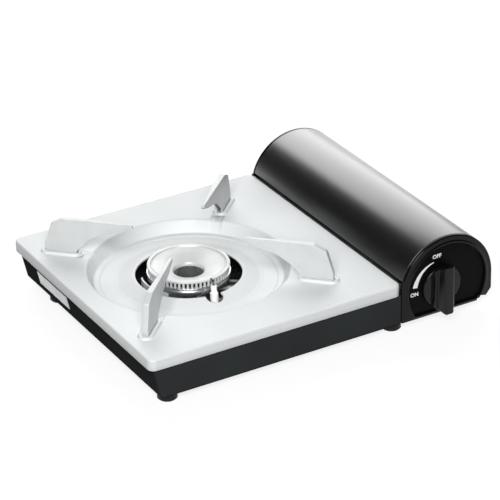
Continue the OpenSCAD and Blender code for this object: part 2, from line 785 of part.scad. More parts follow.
module governor_body() color("#a4a6a8") difference() {
    union() {
        box([gov_x0, gov_y0, floor_z + gov_under], [gov_x1, bulk_y0, gov_z1]);
        // boss that carries the nozzle, along the mixing tube
        intersection() {
            mixing_axis() translate([0, 0, tube_l - boss_in]) cylinder(r = boss_r, h = 50);
            box([gov_x0 - bulkhead_y, gov_y0, floor_z + gov_under], [gov_x0 + 5, bulk_y0, gov_z1]);
        }
    }
    rod_y(knob_x, knob_z, shaft_r + run, gov_y0 - over, gov_y0 + shaft_in);
    rod_y(knob_x, knob_z, needle_r + run, gov_y0 + shaft_in - over, gov_y0 + shaft_in + needle_bore);
    rod_y(arch_x, cart_z, socket_r + run, bulk_y0 - 5, bulk_y0 + over);
    rod_y(ejector_x, cart_z, ejector_r + run, bulk_y0 - ejector_in - 4, bulk_y0 + over);
    for (p = governor_screw_spots)
        rod_y(p[0], p[1], screw_r + run, bulk_y0 - gov_screw_in - 1, bulk_y0 + over);
    // seat of the round diaphragm cover
    translate([gov_x1 - 2, (gov_y0 + bulk_y0) / 2, cart_z - cover_drop]) rotate([0, 90, 0])
        cylinder(r = cover_r, h = 10);
}

module governor_cover() color("#8f9294")
    translate([gov_x1 - 2, (gov_y0 + bulk_y0) / 2, cart_z - cover_drop]) rotate([0, 90, 0]) {
        cylinder(r = cover_r - run, h = 2.1);
        translate([0, 0, 2]) cylinder(r = cover_flange_r, h = cover_t);
        translate([0, 0, 1.9 + cover_t])
            cylinder(r1 = cover_boss_r, r2 = cover_boss_r - 2, h = cover_t + 1);
    }

module governor_screws() color("#b4b6b8")
    for (p = governor_screw_spots) {
        rod_y(p[0], p[1], screw_r, bulk_y0 - gov_screw_in, bulk_y1 + 0.1);
        rod_y(p[0], p[1], 2 * screw_r, bulk_y1, bulk_y1 + 1.6);
    }

// ---------- inlet ----------

magnet_r0 = socket_r + 0.6;
magnet_r1 = 18.5;
magnet_t = 4;
socket_y0 = bulk_y0 - 5;
seal_t = 1.5;
seal_y1 = socket_y0 + 4;
socket_y1 = seal_y1 + inlet_l;

module magnet_ring() color("#3a3b3d") difference() {
    rod_y(arch_x, cart_z, magnet_r1, bulk_y1, bulk_y1 + magnet_t);
    rod_y(arch_x, cart_z, magnet_r0, bulk_y1 - over, bulk_y1 + magnet_t + over);
    rod_y(ejector_x, cart_z, ejector_r + 0.4, bulk_y1 - over, bulk_y1 + magnet_t + over);
    for (p = governor_screw_spots)
        rod_y(p[0], p[1], 2 * screw_r + 0.5, bulk_y1 - over, bulk_y1 + magnet_t + over);
}

module inlet_socket() color("#c7a655") difference() {
    rod_y(arch_x, cart_z, socket_r, socket_y0, socket_y1);
    rod_y(arch_x, cart_z, inlet_r, seal_y1, socket_y1 + over);
    rod_y(arch_x, cart_z, inlet_r - 1, seal_y1 - seal_t, seal_y1 + over);
    rod_y(arch_x, cart_z, 1.5, socket_y0 - over, socket_y1);
}

module inlet_seal() color("#202020") difference() {
    rod_y(arch_x, cart_z, inlet_r - 1 - run, seal_y1 - seal_t, seal_y1);
    rod_y(arch_x, cart_z, 2.2, seal_y1 - seal_t - over, socket_y1);
}

module valve_needle() color("#b08d3c")
    rod_y(knob_x, knob_z, needle_r, gov_y0 + shaft_in + needle_back,
        gov_y0 + shaft_in + needle_back + needle_l);

module ejector_pin() color("#c9cbcc")
    rod_y(ejector_x, cart_z, ejector_r, bulk_y0 - ejector_in, bulk_y1 + magnet_t + ejector_travel);

// ---------- spark electrode and igniter ----------

spark_top = [well_x + 0.5, well_y - head_r - 8.2, plate_top + 0.5];
spark_foot = [well_x - 1.5, well_y - head_r - 13.7, plate_top - 26];
spark_v = spark_top - spark_foot;
spark_l = norm(spark_v);
spark_lean = acos(spark_v[2] / spark_l);
spark_yaw = atan2(spark_v[1], spark_v[0]);

// Places children with +Z running up the spark electrode from its foot
module spark_axis() {
    translate(spark_foot) rotate([0, 0, spark_yaw]) rotate([0, spark_lean, 0]) rotate([0, 0, -spark_yaw])
        children();
}

pin_r = 0.8;

module electrode_ceramic() color("#f1efe9") spark_axis() difference() {
    union() {
        cylinder(r = 4, h = spark_l - 7);
        translate([0, 0, spark_l - 7.1]) cylinder(r1 = 4, r2 = 3, h = 1.1);
        cylinder(r = 3, h = spark_l);
        translate([0, 0, 8]) cylinder(r = 5, h = 2);
    }
    translate([0, 0, -over]) cylinder(r = pin_r + run, h = spark_l + 2 * over);
}

// Wire that leaves the ceramic and hooks over the head's rim
module electrode_pin() color("#8a8c8e") spark_axis() {
    cylinder(r = pin_r, h = spark_l + 2.6);
    translate([0, 0, spark_l + 2.6]) sphere(r = pin_r, $fn = 24);
    translate([0, 0, spark_l + 2.6]) rotate([-58, 0, 0]) cylinder(r = pin_r, h = 5.4);
}

module electrode_bracket() color("#b7b9ba") difference() {
    spark_axis() translate([0, 0, 6.4]) difference() {
        union() {
            cylinder(r = 6.5, h = 1.5);
            translate([-5, 0, 0]) cube([10, 26, 1.5]);
        }
        translate([0, 0, -over]) cylinder(r = 4 + run, h = 4);
    }
    rod_z(well_x, well_y, bowl_r + 0.2, 0, plate_top);
}

// Igniter: moulded block left of the shaft, its plunger facing the cam
cam_in = 10;           // cam's front behind the end cap's face
cam_y0 = front_y + cam_in;
cam_t = 4;
cam_r0 = 6;
plunger_r = 2;
plunger_l = 16;
cam_gap = 0.6;
cam_reach = cam_r0 + cam_gap;
nose_l = 2;
igniter_x1 = knob_x - cam_reach - plunger_travel - 1.5;
igniter_l = 20;
igniter_half = 5;
igniter_w = 8;
igniter_foot_l = 10;
igniter_z = knob_z;
cam_mid = cam_y0 + cam_t / 2;

module igniter_body() color("#d9d6cc") difference() {
    union() {
        box([igniter_x1 - igniter_l, cam_mid - igniter_w / 2, igniter_z - igniter_half],
            [igniter_x1, cam_mid + igniter_w / 2, igniter_z + igniter_half]);
        // foot that carries the block on the end cap's ledge
        box([igniter_x1 - 4 - igniter_foot_l, cam_mid - igniter_w / 2, floor_z + cap_foot_h + 0.02],
            [igniter_x1 - 4, cam_mid + igniter_w / 2, igniter_z - igniter_half + 0.1]);
    }
    translate([igniter_x1 + over, cam_mid, igniter_z]) rotate([0, -90, 0])
        cylinder(r = plunger_r + run, h = plunger_l + over);
}

module igniter_plunger() color("#8f8f8f")
    translate([knob_x - cam_reach, cam_mid, igniter_z]) rotate([0, -90, 0]) {
        translate([0, 0, nose_l]) cylinder(r = plunger_r, h = plunger_l - nose_l);
        cylinder(r1 = 1, r2 = plunger_r, h = nose_l);
    }

// Lead from the electrode's foot along the tray's floor, round the front right
// pillar and through the partition's slot to the igniter
lead_d = 3;
lead_lift = 2.3;       // lead's axis above the tray's floor
slot_in = 20;          // slot behind the end cap's face
lead_slot_y = front_y + slot_in;
lead_low = floor_z + lead_lift;
lead_start = [spark_foot[0] + 6.5, spark_foot[1] - 12, lead_low];
lead_bend = [pillar_spots[2][0] + 2, pillar_spots[2][1] - 2 * pillar_r, lead_low + lead_d / 2];
lead_gate = [part_x + part_t / 2, lead_slot_y + slot_w / 2, lead_low + 2];
lead_end = [igniter_x1 - igniter_l + 2.7, cam_mid, igniter_z - igniter_half - 0.1];
lead_route = concat(
    [spark_foot - [0, 0, 0.4], spark_foot - [0.5, 2, 6],
        [spark_foot[0] + 0.5, spark_foot[1] - 5, lead_low + 3]],
    [for (q = [0 : 0.2 : 0.9]) [for (k = [0, 1]) lead_start[k] * (1 - q) + lead_bend[k] * q, lead_low]],
    [lead_bend, lead_gate, lead_gate + [6, -2, 2.5], lead_gate + [10, -6, 7.5],
        [lead_end[0], lead_end[1], lead_end[2] - 5.5], lead_end]);

// Ring of n points round a route point, square to the direction of the route
function along(p, i) = p[min(i + 1, len(p) - 1)] - p[max(i - 1, 0)];
function ring(p, i, r, n) = let (
        t = along(p, i) / norm(along(p, i)),
        u0 = cross(t, [0.2, 1, 0.3]),
        u = u0 / norm(u0),
        v = cross(t, u)
    ) [for (k = [0 : n - 1]) p[i] + r * (cos(360 * k / n) * u + sin(360 * k / n) * v)];

module sweep(p, r, n) {
    m = len(p);
    polyhedron(
        points = [for (i = [0 : m - 1]) each ring(p, i, r, n)],
        faces = concat(
            [[for (k = [0 : n - 1]) k]],
            [for (i = [0 : m - 2], k = [0 : n - 1])
                let (a = i * n + k, b = i * n + (k + 1) % n) [a, a + n, b + n]],
            [for (i = [0 : m - 2], k = [0 : n - 1])
                let (a = i * n + k, b = i * n + (k + 1) % n) [a, b + n, b]],
            [[for (k = [n - 1 : -1 : 0]) (m - 1) * n + k]]
        )
    );
}

module ignition_lead() color("#e8e4d8") sweep(lead_route, lead_d / 2, 8);

// ---------- knob ----------

knob_back = front_y + panel_recess - gap;
disc_y = front_y - disc_d;
knob_front = front_y - knob_reach;
flank_y = (disc_y + knob_front) / 2 + 1.5;

// Flat disc with a tall grip across it: wide at the disc, narrow at its front,
// its two ends leaning outwards
module control_knob() color("#1b1c1d") translate([knob_x, 0, knob_z]) difference() {
    union() {
        rod_y(0, 0, knob_r, disc_y, knob_back);
        intersection() {
            translate([0, 0, -grip_l / 2 - over]) linear_extrude(grip_l + 2 * over) polygon([
                [-grip_w / 2 - 8.4, knob_back], [-grip_w / 2 - 8.4, disc_y], [-grip_w / 2 - 5.2, flank_y],
                [-grip_w / 2 - 4.2, flank_y], [-grip_w / 2, knob_front + 1], [-grip_w / 2 + 1, knob_front],
                [grip_w / 2 - 1, knob_front], [grip_w / 2, knob_front + 1], [grip_w / 2 + 4.2, flank_y],
                [grip_w / 2 + 5.2, flank_y], [grip_w / 2 + 8.4, disc_y], [grip_w / 2 + 8.4, knob_back]
            ]);
            slab_x(-knob_r, knob_r) polygon([
                [knob_back, 8 - knob_r], [disc_y + 0.5, 0.5 - knob_r], [knob_front + 3, -grip_l / 2],
                [knob_front + 0.8, -grip_l / 2], [knob_front, 1.2 - grip_l / 2],
                [knob_front, grip_l / 2 - 1.2], [knob_front + 0.8, grip_l / 2],
                [knob_front + 3, grip_l / 2], [disc_y + 0.5, knob_r - 0.5], [knob_back, knob_r - 8]
            ]);
        }
    }
    rod_y(0, 0, shaft_r + run / 2, knob_front + 4, knob_back + over);
}

module valve_shaft() color("#b5b7b9")
    rod_y(knob_x, knob_z, shaft_r, knob_front + 4.1, gov_y0 + shaft_in - 1);

cam_step = 10;

// Spiral cam: its radius grows evenly over a quarter turn, from the side that
// faces the plunger to the top
module igniter_cam() color("#d8d5cb") difference() {
    translate([knob_x, 0, knob_z]) slab_y(cam_y0, cam_y0 + cam_t) polygon([
        for (a = [-90 : cam_step : 180])
            let (r = cam_r0 + (a < 90 ? 0 : plunger_travel * (180 - a) / 90))
            [r * cos(a), r * sin(a)],
        [-cam_r0 * cos(45), -cam_r0 * sin(45)]
    ]);
    rod_y(knob_x, knob_z, shaft_r + run / 2, cam_y0 - over, cam_y0 + cam_t + over);
}

// ---------- lid ----------

lid_y0 = front_y + cap_t + gap;
lid_y1 = back_y - cap_t - gap;
edge_up = arch_drop + lid_edge_gap;
edge_a = 180 - asin(edge_up / arch_r);
ear_t = 3;
ear_r = 6.2;

// Wall of the lid in X and Z: arch, straight right side, turned-in foot
module lid_wall() {
    difference() {
        translate([arch_x, arch_z]) circle(r = arch_r);
        translate([arch_x, arch_z]) circle(r = lid_in_r);
        translate([arch_x - arch_r - over, arch_z - arch_r - over])
            square([arch_r + over, arch_r + over + edge_up]);
        translate([arch_x - over, arch_z - arch_r - over]) square([arch_r + 2 * over, arch_r + over]);
    }
    polygon([
        [right_x, arch_z + 0.1], [right_x, hinge_z - 0.5], [hinge_x + corner_x, hinge_z - corner_z],
        [hinge_x + corner_x - 0.4, hinge_z - corner_z + 2.3], [right_x - lid_t, hinge_z + 0.2],
        [right_x - lid_t, arch_z + 0.1]
    ]);
}

lid_lip_w = 2;         // width of the edge turned in along the plate's side
lip_in_r = lid_in_r - lid_lip_w;
lip_back = cap_t + sleeve_l + gap;

module lid_shell() color("#202122") difference() {
    union() {
        slab_y(lid_y0, lid_y1) lid_wall();
        // edge turned in along the plate's side, between the end caps' sleeves
        slab_y(front_y + lip_back, back_y - lip_back)
            translate([arch_x, arch_z]) rotate(edge_a) translate([lip_in_r, -lid_t])
                square([lid_lip_w + 0.5, lid_t]);
        for (y = [lid_y0 + 0.5, lid_y1 - 0.5 - ear_t]) {
            rod_y(hinge_x, hinge_z, ear_r, y, y + ear_t);
            box([hinge_x, y, hinge_z], [right_x - lid_t / 2, y + ear_t, hinge_z + 5]);
        }
    }
    for (y = [lid_y0, lid_y1 - ear_t - 1])
        rod_y(hinge_x, hinge_z, hinge_pin_r + run, y - over, y + ear_t + 2);
}

pin_l = cap_t + gap + 0.5 + ear_t + 1.5;
pin_head_r = hinge_pin_r + 0.7;
pin_head_t = 0.8;

module hinge_pin_front() color("#1b1c1d") {
    rod_y(hinge_x, hinge_z, hinge_pin_r, front_y - 0.1, front_y + pin_l);
    rod_y(hinge_x, hinge_z, pin_head_r, front_y - pin_head_t, front_y);
}

module hinge_pin_rear() color("#1b1c1d")
    rod_y(hinge_x, hinge_z, hinge_pin_r, back_y - pin_l, back_y);

bumper_l = 10;
bumper_w = 3.2;
bumper_front = 70;     // bumpers from the front and the back
bumper_back = 50;
bumper_z = arch_z + lip_in_r * sin(edge_a) - gap;

module lid_bumpers() color("#1a1a1a")
    for (y = [front_y + bumper_front, back_y - bumper_back])
        box([part_x + part_flange - bumper_w, y - bumper_l / 2, under_z - gap],
            [part_x + part_flange, y + bumper_l / 2, bumper_z]);

// ---------- fasteners and trim ----------

module plate_pillars() color("#9b9d9f")
    for (p = pillar_spots) difference() {
        rod_z(p[0], p[1], pillar_r, floor_z, under_z);
        rod_z(p[0], p[1], screw_r + run, floor_z - over, floor_z + plate_screw_l + 2);
    }

plate_screw_l = 10;

module plate_screws() color("#b4b6b8")
    for (p = pillar_spots) screw_z(p[0], p[1], screw_r, foot_h, floor_z + plate_screw_l);

module end_cap_screws() color("#b4b6b8")
    for (p = cap_screw_spots) screw_z(p[0], p[1], screw_r, foot_h, floor_z + cap_foot_h - 0.3);

badge_h = 14;
badge_l = 62;
badge_t = 0.6;
badge_up = 17;         // its middle above the tray's underside
badge_back = 70;       // its middle from the back
badge_z = foot_h + badge_up;

// Bare name plate on the left wall
module side_badge() color("#e9eaec")
    translate([left_x + tray_foot_inset - tray_slope * badge_up, back_y - badge_back, badge_z])
        rotate([0, -atan(tray_slope), 0])
            translate([-badge_t - 0.02, -badge_l / 2, -badge_h / 2])
                cube([badge_t, badge_l, badge_h]);

body_tray();
top_plate();
pot_support(support_angles[0]);  // pot_support_front_left
pot_support(support_angles[1]);  // pot_support_front_right
pot_support(support_angles[2]);  // pot_support_back_left
pot_support(support_angles[3]);  // pot_support_back_right
front_end_cap();
rear_end_cap();
control_panel();
bay_bulkhead();
partition_wall();
cartridge_rails();
heat_plate();
burner_body();
burner_cap();
burner_bracket();
burner_screws();
mixing_tube();
gas_nozzle();
electrode_ceramic();
electrode_pin();
electrode_bracket();
ignition_lead();
igniter_body();
igniter_plunger();
governor_body();
governor_cover();
governor_screws();
magnet_ring();
inlet_socket();
inlet_seal();
valve_needle();
ejector_pin();
control_knob();
valve_shaft();
igniter_cam();
lid_shell();
hinge_pin_front();
hinge_pin_rear();
foot(foot_spots[0]);  // foot_front_left
foot(foot_spots[1]);  // foot_front_right
foot(foot_spots[2]);  // foot_back_left
foot(foot_spots[3]);  // foot_back_right
plate_pillars();
plate_screws();
end_cap_screws();
side_badge();
lid_bumpers();
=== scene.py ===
"""Looks of the butane cassette stove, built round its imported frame. Lengths are in millimetres
until mesh() turns them to metres."""

import math

import bmesh
import bpy
import numpy as np
from mathutils import Matrix, Vector


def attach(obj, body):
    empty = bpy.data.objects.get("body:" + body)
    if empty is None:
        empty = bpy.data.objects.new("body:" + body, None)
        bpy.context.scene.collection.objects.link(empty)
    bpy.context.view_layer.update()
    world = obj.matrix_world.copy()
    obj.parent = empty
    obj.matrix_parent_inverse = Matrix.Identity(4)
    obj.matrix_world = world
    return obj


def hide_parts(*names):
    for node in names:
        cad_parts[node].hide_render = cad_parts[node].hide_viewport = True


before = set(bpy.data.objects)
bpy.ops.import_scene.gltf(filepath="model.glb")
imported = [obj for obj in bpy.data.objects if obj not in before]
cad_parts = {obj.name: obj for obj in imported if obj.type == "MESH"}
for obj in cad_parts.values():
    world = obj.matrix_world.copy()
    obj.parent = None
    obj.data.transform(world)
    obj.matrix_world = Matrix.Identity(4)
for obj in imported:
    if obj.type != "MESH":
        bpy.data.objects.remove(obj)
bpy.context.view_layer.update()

MM = 0.001
TAU = 2 * math.pi

# ---------- main sizes, as in the part's source ----------
LEFT, FRONT, BACK = -184.0, -132.0, 148.0
PLATE_TOP, PLATE_RIGHT, SHEET = 50.0, 82.0, 1.2
WELL = np.array((-67.0, 9.0))
ARCH = np.array((133.0, 36.0))
ARCH_R = 51.0
HINGE = np.array((176.0, 18.5))
KNOB = np.array((125.4, 38.3))
FLOOR_UNDER, FLOOR_TOP = 7.0, 8.2
CAP_T = 3.0
# Each end cap's collar runs between these distances from the cap's face
COLLAR_FROM, COLLAR_TO = 2.9, 11.0
PANEL_R, PANEL_LOW = 42.8, 12.8
PANEL_Y = FRONT + 1.2


# ---------- shape helpers ----------
def unit(v):
    """Vectors of length one along the last axis."""
    return v / np.maximum(np.linalg.norm(v, axis=-1, keepdims=True), 1e-12)


def rounded(corners, steps=6, closed=False):
    """Polyline through (x, y, radius) corners: each corner becomes an arc tangent to both sides."""
    rows = []
    for i, (x, y, r) in enumerate(corners):
        p = np.array((x, y), float)
        if r == 0 or (not closed and i in (0, len(corners) - 1)):
            rows.append(p[None])
            continue
        a = unit(np.array(corners[i - 1][:2], float) - p)
        b = unit(np.array(corners[(i + 1) % len(corners)][:2], float) - p)
        half = math.acos(np.clip(a @ b, -1, 1)) / 2
        centre = p + unit(a + b) * r / math.sin(half)
        start = p + a * r / math.tan(half) - centre
        end = p + b * r / math.tan(half) - centre
        first = math.atan2(start[1], start[0])
        turn = (math.atan2(end[1], end[0]) - first + math.pi) % TAU - math.pi
        t = first + turn * np.linspace(0, 1, steps + 1)
        rows.append(centre + r * np.stack([np.cos(t), np.sin(t)], 1))
    line = np.concatenate(rows)
    keep = np.linalg.norm(np.diff(line, axis=0, prepend=line[:1] - 1), axis=1) > 1e-4
    return line[keep]


def arc(centre, r, a0, a1, n):
    """n + 1 points on a circle, angles in degrees."""
    t = np.radians(np.linspace(a0, a1, n + 1))
    return np.stack([centre[0] + r * np.cos(t), centre[1] + r * np.sin(t)], 1)


def mitres(path, closed):
    """Sideways vector at each point of a path, to the right of its direction; added once it moves
    both neighbouring edges by one."""
    after, before = np.roll(path, -1, 0), np.roll(path, 1, 0)
    if not closed:
        after[-1] = 2 * path[-1] - path[-2]
        before[0] = 2 * path[0] - path[1]
    e0, e1 = unit(path - before), unit(after - path)
    m = np.stack([e0[:, 1] + e1[:, 1], -e0[:, 0] - e1[:, 0]], 1)
    return m * 2 / np.maximum((m * m).sum(1, keepdims=True), 0.3)


def grid(points, wrap_rows=False, wrap_cols=False, cap_ends=False):
    """Quads over an (n, m, 3) array. Wraps close it round; cap_ends fills the first and last row."""
    n, m = points.shape[:2]
    i = np.arange(n if wrap_rows else n - 1)[:, None]
    j = np.arange(m if wrap_cols else m - 1)[None]
    i2, j2 = (i + 1) % n, (j + 1) % m
    faces = np.stack([i * m + j, i2 * m + j, i2 * m + j2, i * m + j2], -1).reshape(-1, 4).tolist()
    if cap_ends:
        faces += [list(range(m)), list(range((n - 1) * m, n * m))]
    return points.reshape(-1, 3), faces


def lathe(profile, centre, count=192):
    """Closed profile (radius, z) turned round a vertical axis."""
    profile = np.concatenate([profile, profile[:1]])
    t = np.arange(count) * TAU / count
    r, z = profile[:, :1], profile[:, 1:]
    x = centre[0] + r * np.cos(t)
    y = centre[1] + r * np.sin(t)
    return grid(np.stack([x, y, np.broadcast_to(z, x.shape)], -1), wrap_cols=True)


def lathe_y(line, centre, count):
    """Closed line (radius, y) turned round an axis along Y through centre (x, z)."""
    t = np.arange(count) * TAU / count
    r, y = line[:, :1], line[:, 1:]
    x = centre[0] + r * np.cos(t)
    z = centre[1] + r * np.sin(t)
    return grid(np.stack([x, np.broadcast_to(y, x.shape), z], -1), wrap_rows=True, wrap_cols=True)


def at_y(curve, y):
    """A curve in X and Z as points at one Y."""
    return np.stack([curve[:, 0], np.full(len(curve), y), curve[:, 1]], 1)


def bar_y(curve, y0, y1):
    """A closed curve in X and Z drawn out from y0 to y1, its ends filled."""
    return grid(np.array([at_y(curve, y0), at_y(curve, y1)]), wrap_cols=True, cap_ends=True)


def new_object(name, data):
    """A new object in the scene."""
    obj = bpy.data.objects.new(name, data)
    bpy.context.scene.collection.objects.link(obj)
    return obj


def mesh(name, parts, finish, body, takes=(), crease=40, outward=True):
    """One object from several (points, faces) parts: doubles merged, faces turned outwards, edges
    sharper than crease degrees kept sharp. It rides on body and stands for the nodes in takes."""
    points, faces, count = [], [], 0
    for p, f in parts:
        points.append(np.asarray(p, float) * MM)
        faces += [[k + count for k in q] for q in f]
        count += len(p)
    data = bpy.data.meshes.new(name)
    data.from_pydata(np.concatenate(points).tolist(), [], faces)
    work = bmesh.new()
    work.from_mesh(data)
    bmesh.ops.remove_doubles(work, verts=work.verts, dist=2e-6)
    if outward:
        bmesh.ops.recalc_face_normals(work, faces=work.faces)
    work.to_mesh(data)
    work.free()
    data.polygons.foreach_set("use_smooth", [True] * len(data.polygons))
    data.set_sharp_from_angle(angle=math.radians(crease))
    data.materials.append(finish[0])
    obj = new_object(name, data)
    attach(obj, body)
    if takes:
        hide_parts(*takes)
    return obj


# ---------- finishes ----------
def linear(code):
    """sRGB hex to linear RGBA."""
    c = np.array([int(code[k : k + 2], 16) for k in (1, 3, 5)]) / 255
    c = np.where(c <= 0.04045, c / 12.92, ((c + 0.055) / 1.055) ** 2.4)
    return (*c.tolist(), 1.0)


def add(tree, kind, settings=None, **inputs):
    """Adds a node, sets its properties, and links or sets its inputs: i3 is the fourth input, any
    other key is an input's name with underscores for spaces."""
    n = tree.nodes.new(kind)
    for key, value in (settings or {}).items():
        setattr(n, key, value)
    for key, value in inputs.items():
        numbered = key[0] == "i" and key[1:].isdigit()
        socket = n.inputs[int(key[1:]) if numbered else key.replace("_", " ")]
        if isinstance(value, bpy.types.NodeSocket):
            tree.links.new(value, socket)
        else:
            socket.default_value = value
    return n


def blend(tree, amount, base, over):
    """Base colour passing to over as amount goes from 0 to 1."""
    return add(tree, "ShaderNodeMix", {"data_type": "RGBA"}, i0=amount, i6=base, i7=over).outputs[2]


def finish(name, slot, colour, rough, metal=0.0, shade=None, shade_mm=60.0, grain_mm=0.5,
           grain_depth=0.0, stretch=(1, 1, 1), rough_vary=0.0, flake=None, coat=0.0, coat_rough=0.1,
           shine=0.5):
    """A surface: base colour varied softly to shade over shade_mm, roughness varied by rough_vary,
    a bump of grain_mm and grain_depth (mm), drawn out along an axis by stretch, an optional flake
    colour of the grain's size, and the strength of a paint's or plastic's mirror part in shine."""
    mat = bpy.data.materials.new(name)
    mat.use_nodes = True
    tree = mat.node_tree
    shader = tree.nodes["Principled BSDF"]
    shader.inputs["Metallic"].default_value = metal
    shader.inputs["Coat Weight"].default_value = coat
    shader.inputs["Coat Roughness"].default_value = coat_rough
    shader.inputs["Specular IOR Level"].default_value = shine
    place = add(tree, "ShaderNodeTexCoord").outputs["Object"]
    drawn = add(tree, "ShaderNodeMapping", Vector=place, Scale=stretch).outputs[0]
    broad = add(tree, "ShaderNodeTexNoise", Vector=place, Scale=1 / (shade_mm * MM), Detail=4.0,
                Roughness=0.55)
    fine = add(tree, "ShaderNodeTexNoise", Vector=drawn, Scale=1 / (grain_mm * MM), Detail=3.0,
               Roughness=0.6)
    base = linear(colour)
    if shade:
        soft = add(tree, "ShaderNodeMapRange", i0=broad.outputs[0], i1=0.35, i2=0.65)
        base = blend(tree, soft.outputs[0], base, linear(shade))
    if flake:
        speck = add(tree, "ShaderNodeMapRange", i0=fine.outputs[0], i1=0.55, i2=0.72)
        base = blend(tree, speck.outputs[0], base, linear(flake))
    if isinstance(base, bpy.types.NodeSocket):
        tree.links.new(base, shader.inputs["Base Color"])
    else:
        shader.inputs["Base Color"].default_value = base
    if rough_vary:
        vary = add(tree, "ShaderNodeMapRange", i0=broad.outputs[0], i1=0.3, i2=0.7,
                   i3=rough - rough_vary, i4=rough + rough_vary)
        tree.links.new(vary.outputs[0], shader.inputs["Roughness"])
    else:
        shader.inputs["Roughness"].default_value = rough
    if grain_depth:
        bump = add(tree, "ShaderNodeBump", Strength=1.0, Distance=grain_depth * MM, Height=fine.outputs[0])
        tree.links.new(bump.outputs[0], shader.inputs["Normal"])
    return mat, slot


# Stoved silver enamel on pressed steel: pale and satin, with aluminium flake of 0.7 mm that sparkles
SILVER = finish("silver_enamel", "plate_silver", "#dadddd", 0.54, metal=0.07, shade="#d5d8d8",
                shade_mm=120, grain_mm=0.7, grain_depth=0.003, flake="#e4e6e6", rough_vary=0.03)
# Silver enamel on folded sheet: the same paint, a little colder, clouded over 30 mm
SUPPORT = finish("support_enamel", "support_steel", "#d2d4d4", 0.42, metal=0.12, shade="#c8cbcb",
                 shade_mm=30, grain_mm=0.6, grain_depth=0.004, rough_vary=0.04)
# Black enamel on the tray: even and dull, faint orange peel of 1.5 mm
TRAY = finish("black_enamel", "tray_black", "#2e3031", 0.6, shade="#333637", shade_mm=90,
              grain_mm=1.5, grain_depth=0.004, rough_vary=0.04, shine=0.0)
# Semi-gloss black enamel on the rolled lid: a thick clear coat gives its broad soft reflection
LID = finish("lid_enamel", "lid_black", "#020202", 0.34, shade="#030303", shade_mm=140, grain_mm=1.2,
             grain_depth=0.002, rough_vary=0.02, coat=1.0, coat_rough=0.31, shine=0.2)
LID[0].node_tree.nodes["Principled BSDF"].inputs["Coat IOR"].default_value = 2.0
# Moulded black ABS: fine spark-eroded grain of 0.6 mm, polished enough to catch the light on edges
ABS = finish("black_abs", "cap_black", "#070808", 0.2, grain_mm=0.6, grain_depth=0.001,
             shade="#0a0a0a", shade_mm=40, rough_vary=0.03, shine=0.2)
# The panel is the same plastic with a coarser, matt face
PANEL = finish("matt_abs", "cap_black", "#060606", 0.5, grain_mm=0.7, grain_depth=0.004,
               shade="#080808", shade_mm=30, rough_vary=0.03, shine=0.06)
# Knob in black phenolic: deep black with a soft polish that lines its ridges
PHENOLIC = finish("black_phenolic", "knob_black", "#070707", 0.2, grain_mm=0.6, grain_depth=0.002,
                  shade="#0b0b0b", shade_mm=20, rough_vary=0.03, shine=0.26)
# White screen print: thin, matt ink
INK = finish("white_print", "badge_white", "#f1f2f2", 0.55, grain_mm=0.4, grain_depth=0.002)
# Die-cast aluminium burner, tumbled to a soft shine: it mirrors the dark well and the bright plate
CASTING = finish("tumbled_aluminium", "burner_aluminium", "#dadcdd", 0.28, metal=0.9, shade="#c8cbcc",
                 shade_mm=14, grain_mm=0.5, grain_depth=0.004, rough_vary=0.06)
# Painted shade: a matt near-black finish for the ring behind the flame ports, standing in for the shade
# inside them
PORT_SHADE = finish("painted_port_shade", "burner_cap_metal", "#0a0a0a", 0.7, shade="#141312", shade_mm=4,
              grain_mm=0.5, grain_depth=0.005)
# Burner cap: finer casting, pale and satin, clouded over 18 mm
CAP_METAL = finish("turned_aluminium", "burner_cap_metal", "#d6d8d8", 0.36, metal=0.12,
                   shade="#cdcfcf", shade_mm=18, grain_mm=0.4, grain_depth=0.005, rough_vary=0.05)
# Zinc-plated pressed steel: bluish grey with a faint spangle of 6 mm
ZINC = finish("zinc_plate", "zinc_steel", "#c3c8cb", 0.36, metal=1.0, shade="#aeb4b8", shade_mm=6,
              grain_mm=0.8, grain_depth=0.003, rough_vary=0.08)
# Hinge pins in blackened steel: oiled, near black
PIN = finish("black_oxide_steel", "pin_black", "#131314", 0.32, metal=0.4, shade="#1a1a1b",
             shade_mm=3, grain_mm=0.3, grain_depth=0.002, rough_vary=0.04)
# Zinc on the burner's bracket, duller and painted paler than the other zinc: painted light, so that it
# lights up in the shaded gap
PAINTED_BRIGHT_ZINC = finish("zinc_painted_light", "zinc_steel", "#dfe3e5", 0.5, metal=0.25, shade="#d0d5d8", shade_mm=8,
                   grain_mm=0.8, grain_depth=0.004, rough_vary=0.06)
# Heat-darkened steel of the mixing tube: brown clouds over 25 mm
TUBE = finish("heat_dark_steel", "tube_steel", "#5c5e60", 0.4, metal=1.0, shade="#4a4745",
              shade_mm=25, grain_mm=0.5, grain_depth=0.003, rough_vary=0.08)
# Plated screws: bright, slightly worn
SCREW = finish("plated_screw", "screw_steel", "#c4c7c9", 0.3, metal=1.0, shade="#b5b8ba", shade_mm=3,
               grain_mm=0.3, grain_depth=0.003, rough_vary=0.05)
# Turned brass: warm yellow, fine tool marks
BRASS = finish("turned_brass", "brass", "#c9a45a", 0.28, metal=1.0, shade="#b8934c", shade_mm=5,
               grain_mm=0.3, grain_depth=0.003, rough_vary=0.05)
# Zinc die casting of the governor: dull grey
GOVERNOR = finish("zinc_casting", "zinc_casting", "#9b9ea0", 0.46, metal=0.9, shade="#8d9092",
                  shade_mm=12, grain_mm=0.6, grain_depth=0.012, rough_vary=0.06)
# Sintered ferrite magnet: matt, near black
FERRITE = finish("ferrite", "magnet", "#2a2b2d", 0.62, metal=0.3, grain_mm=0.4, grain_depth=0.006,
                 shade="#323335", shade_mm=8)
# Nitrile rubber of seals and bumpers: matt black
NITRILE = finish("nitrile_rubber", "seal_rubber", "#151515", 0.6, grain_mm=0.5, grain_depth=0.005,
                 shade="#1b1b1b", shade_mm=6)
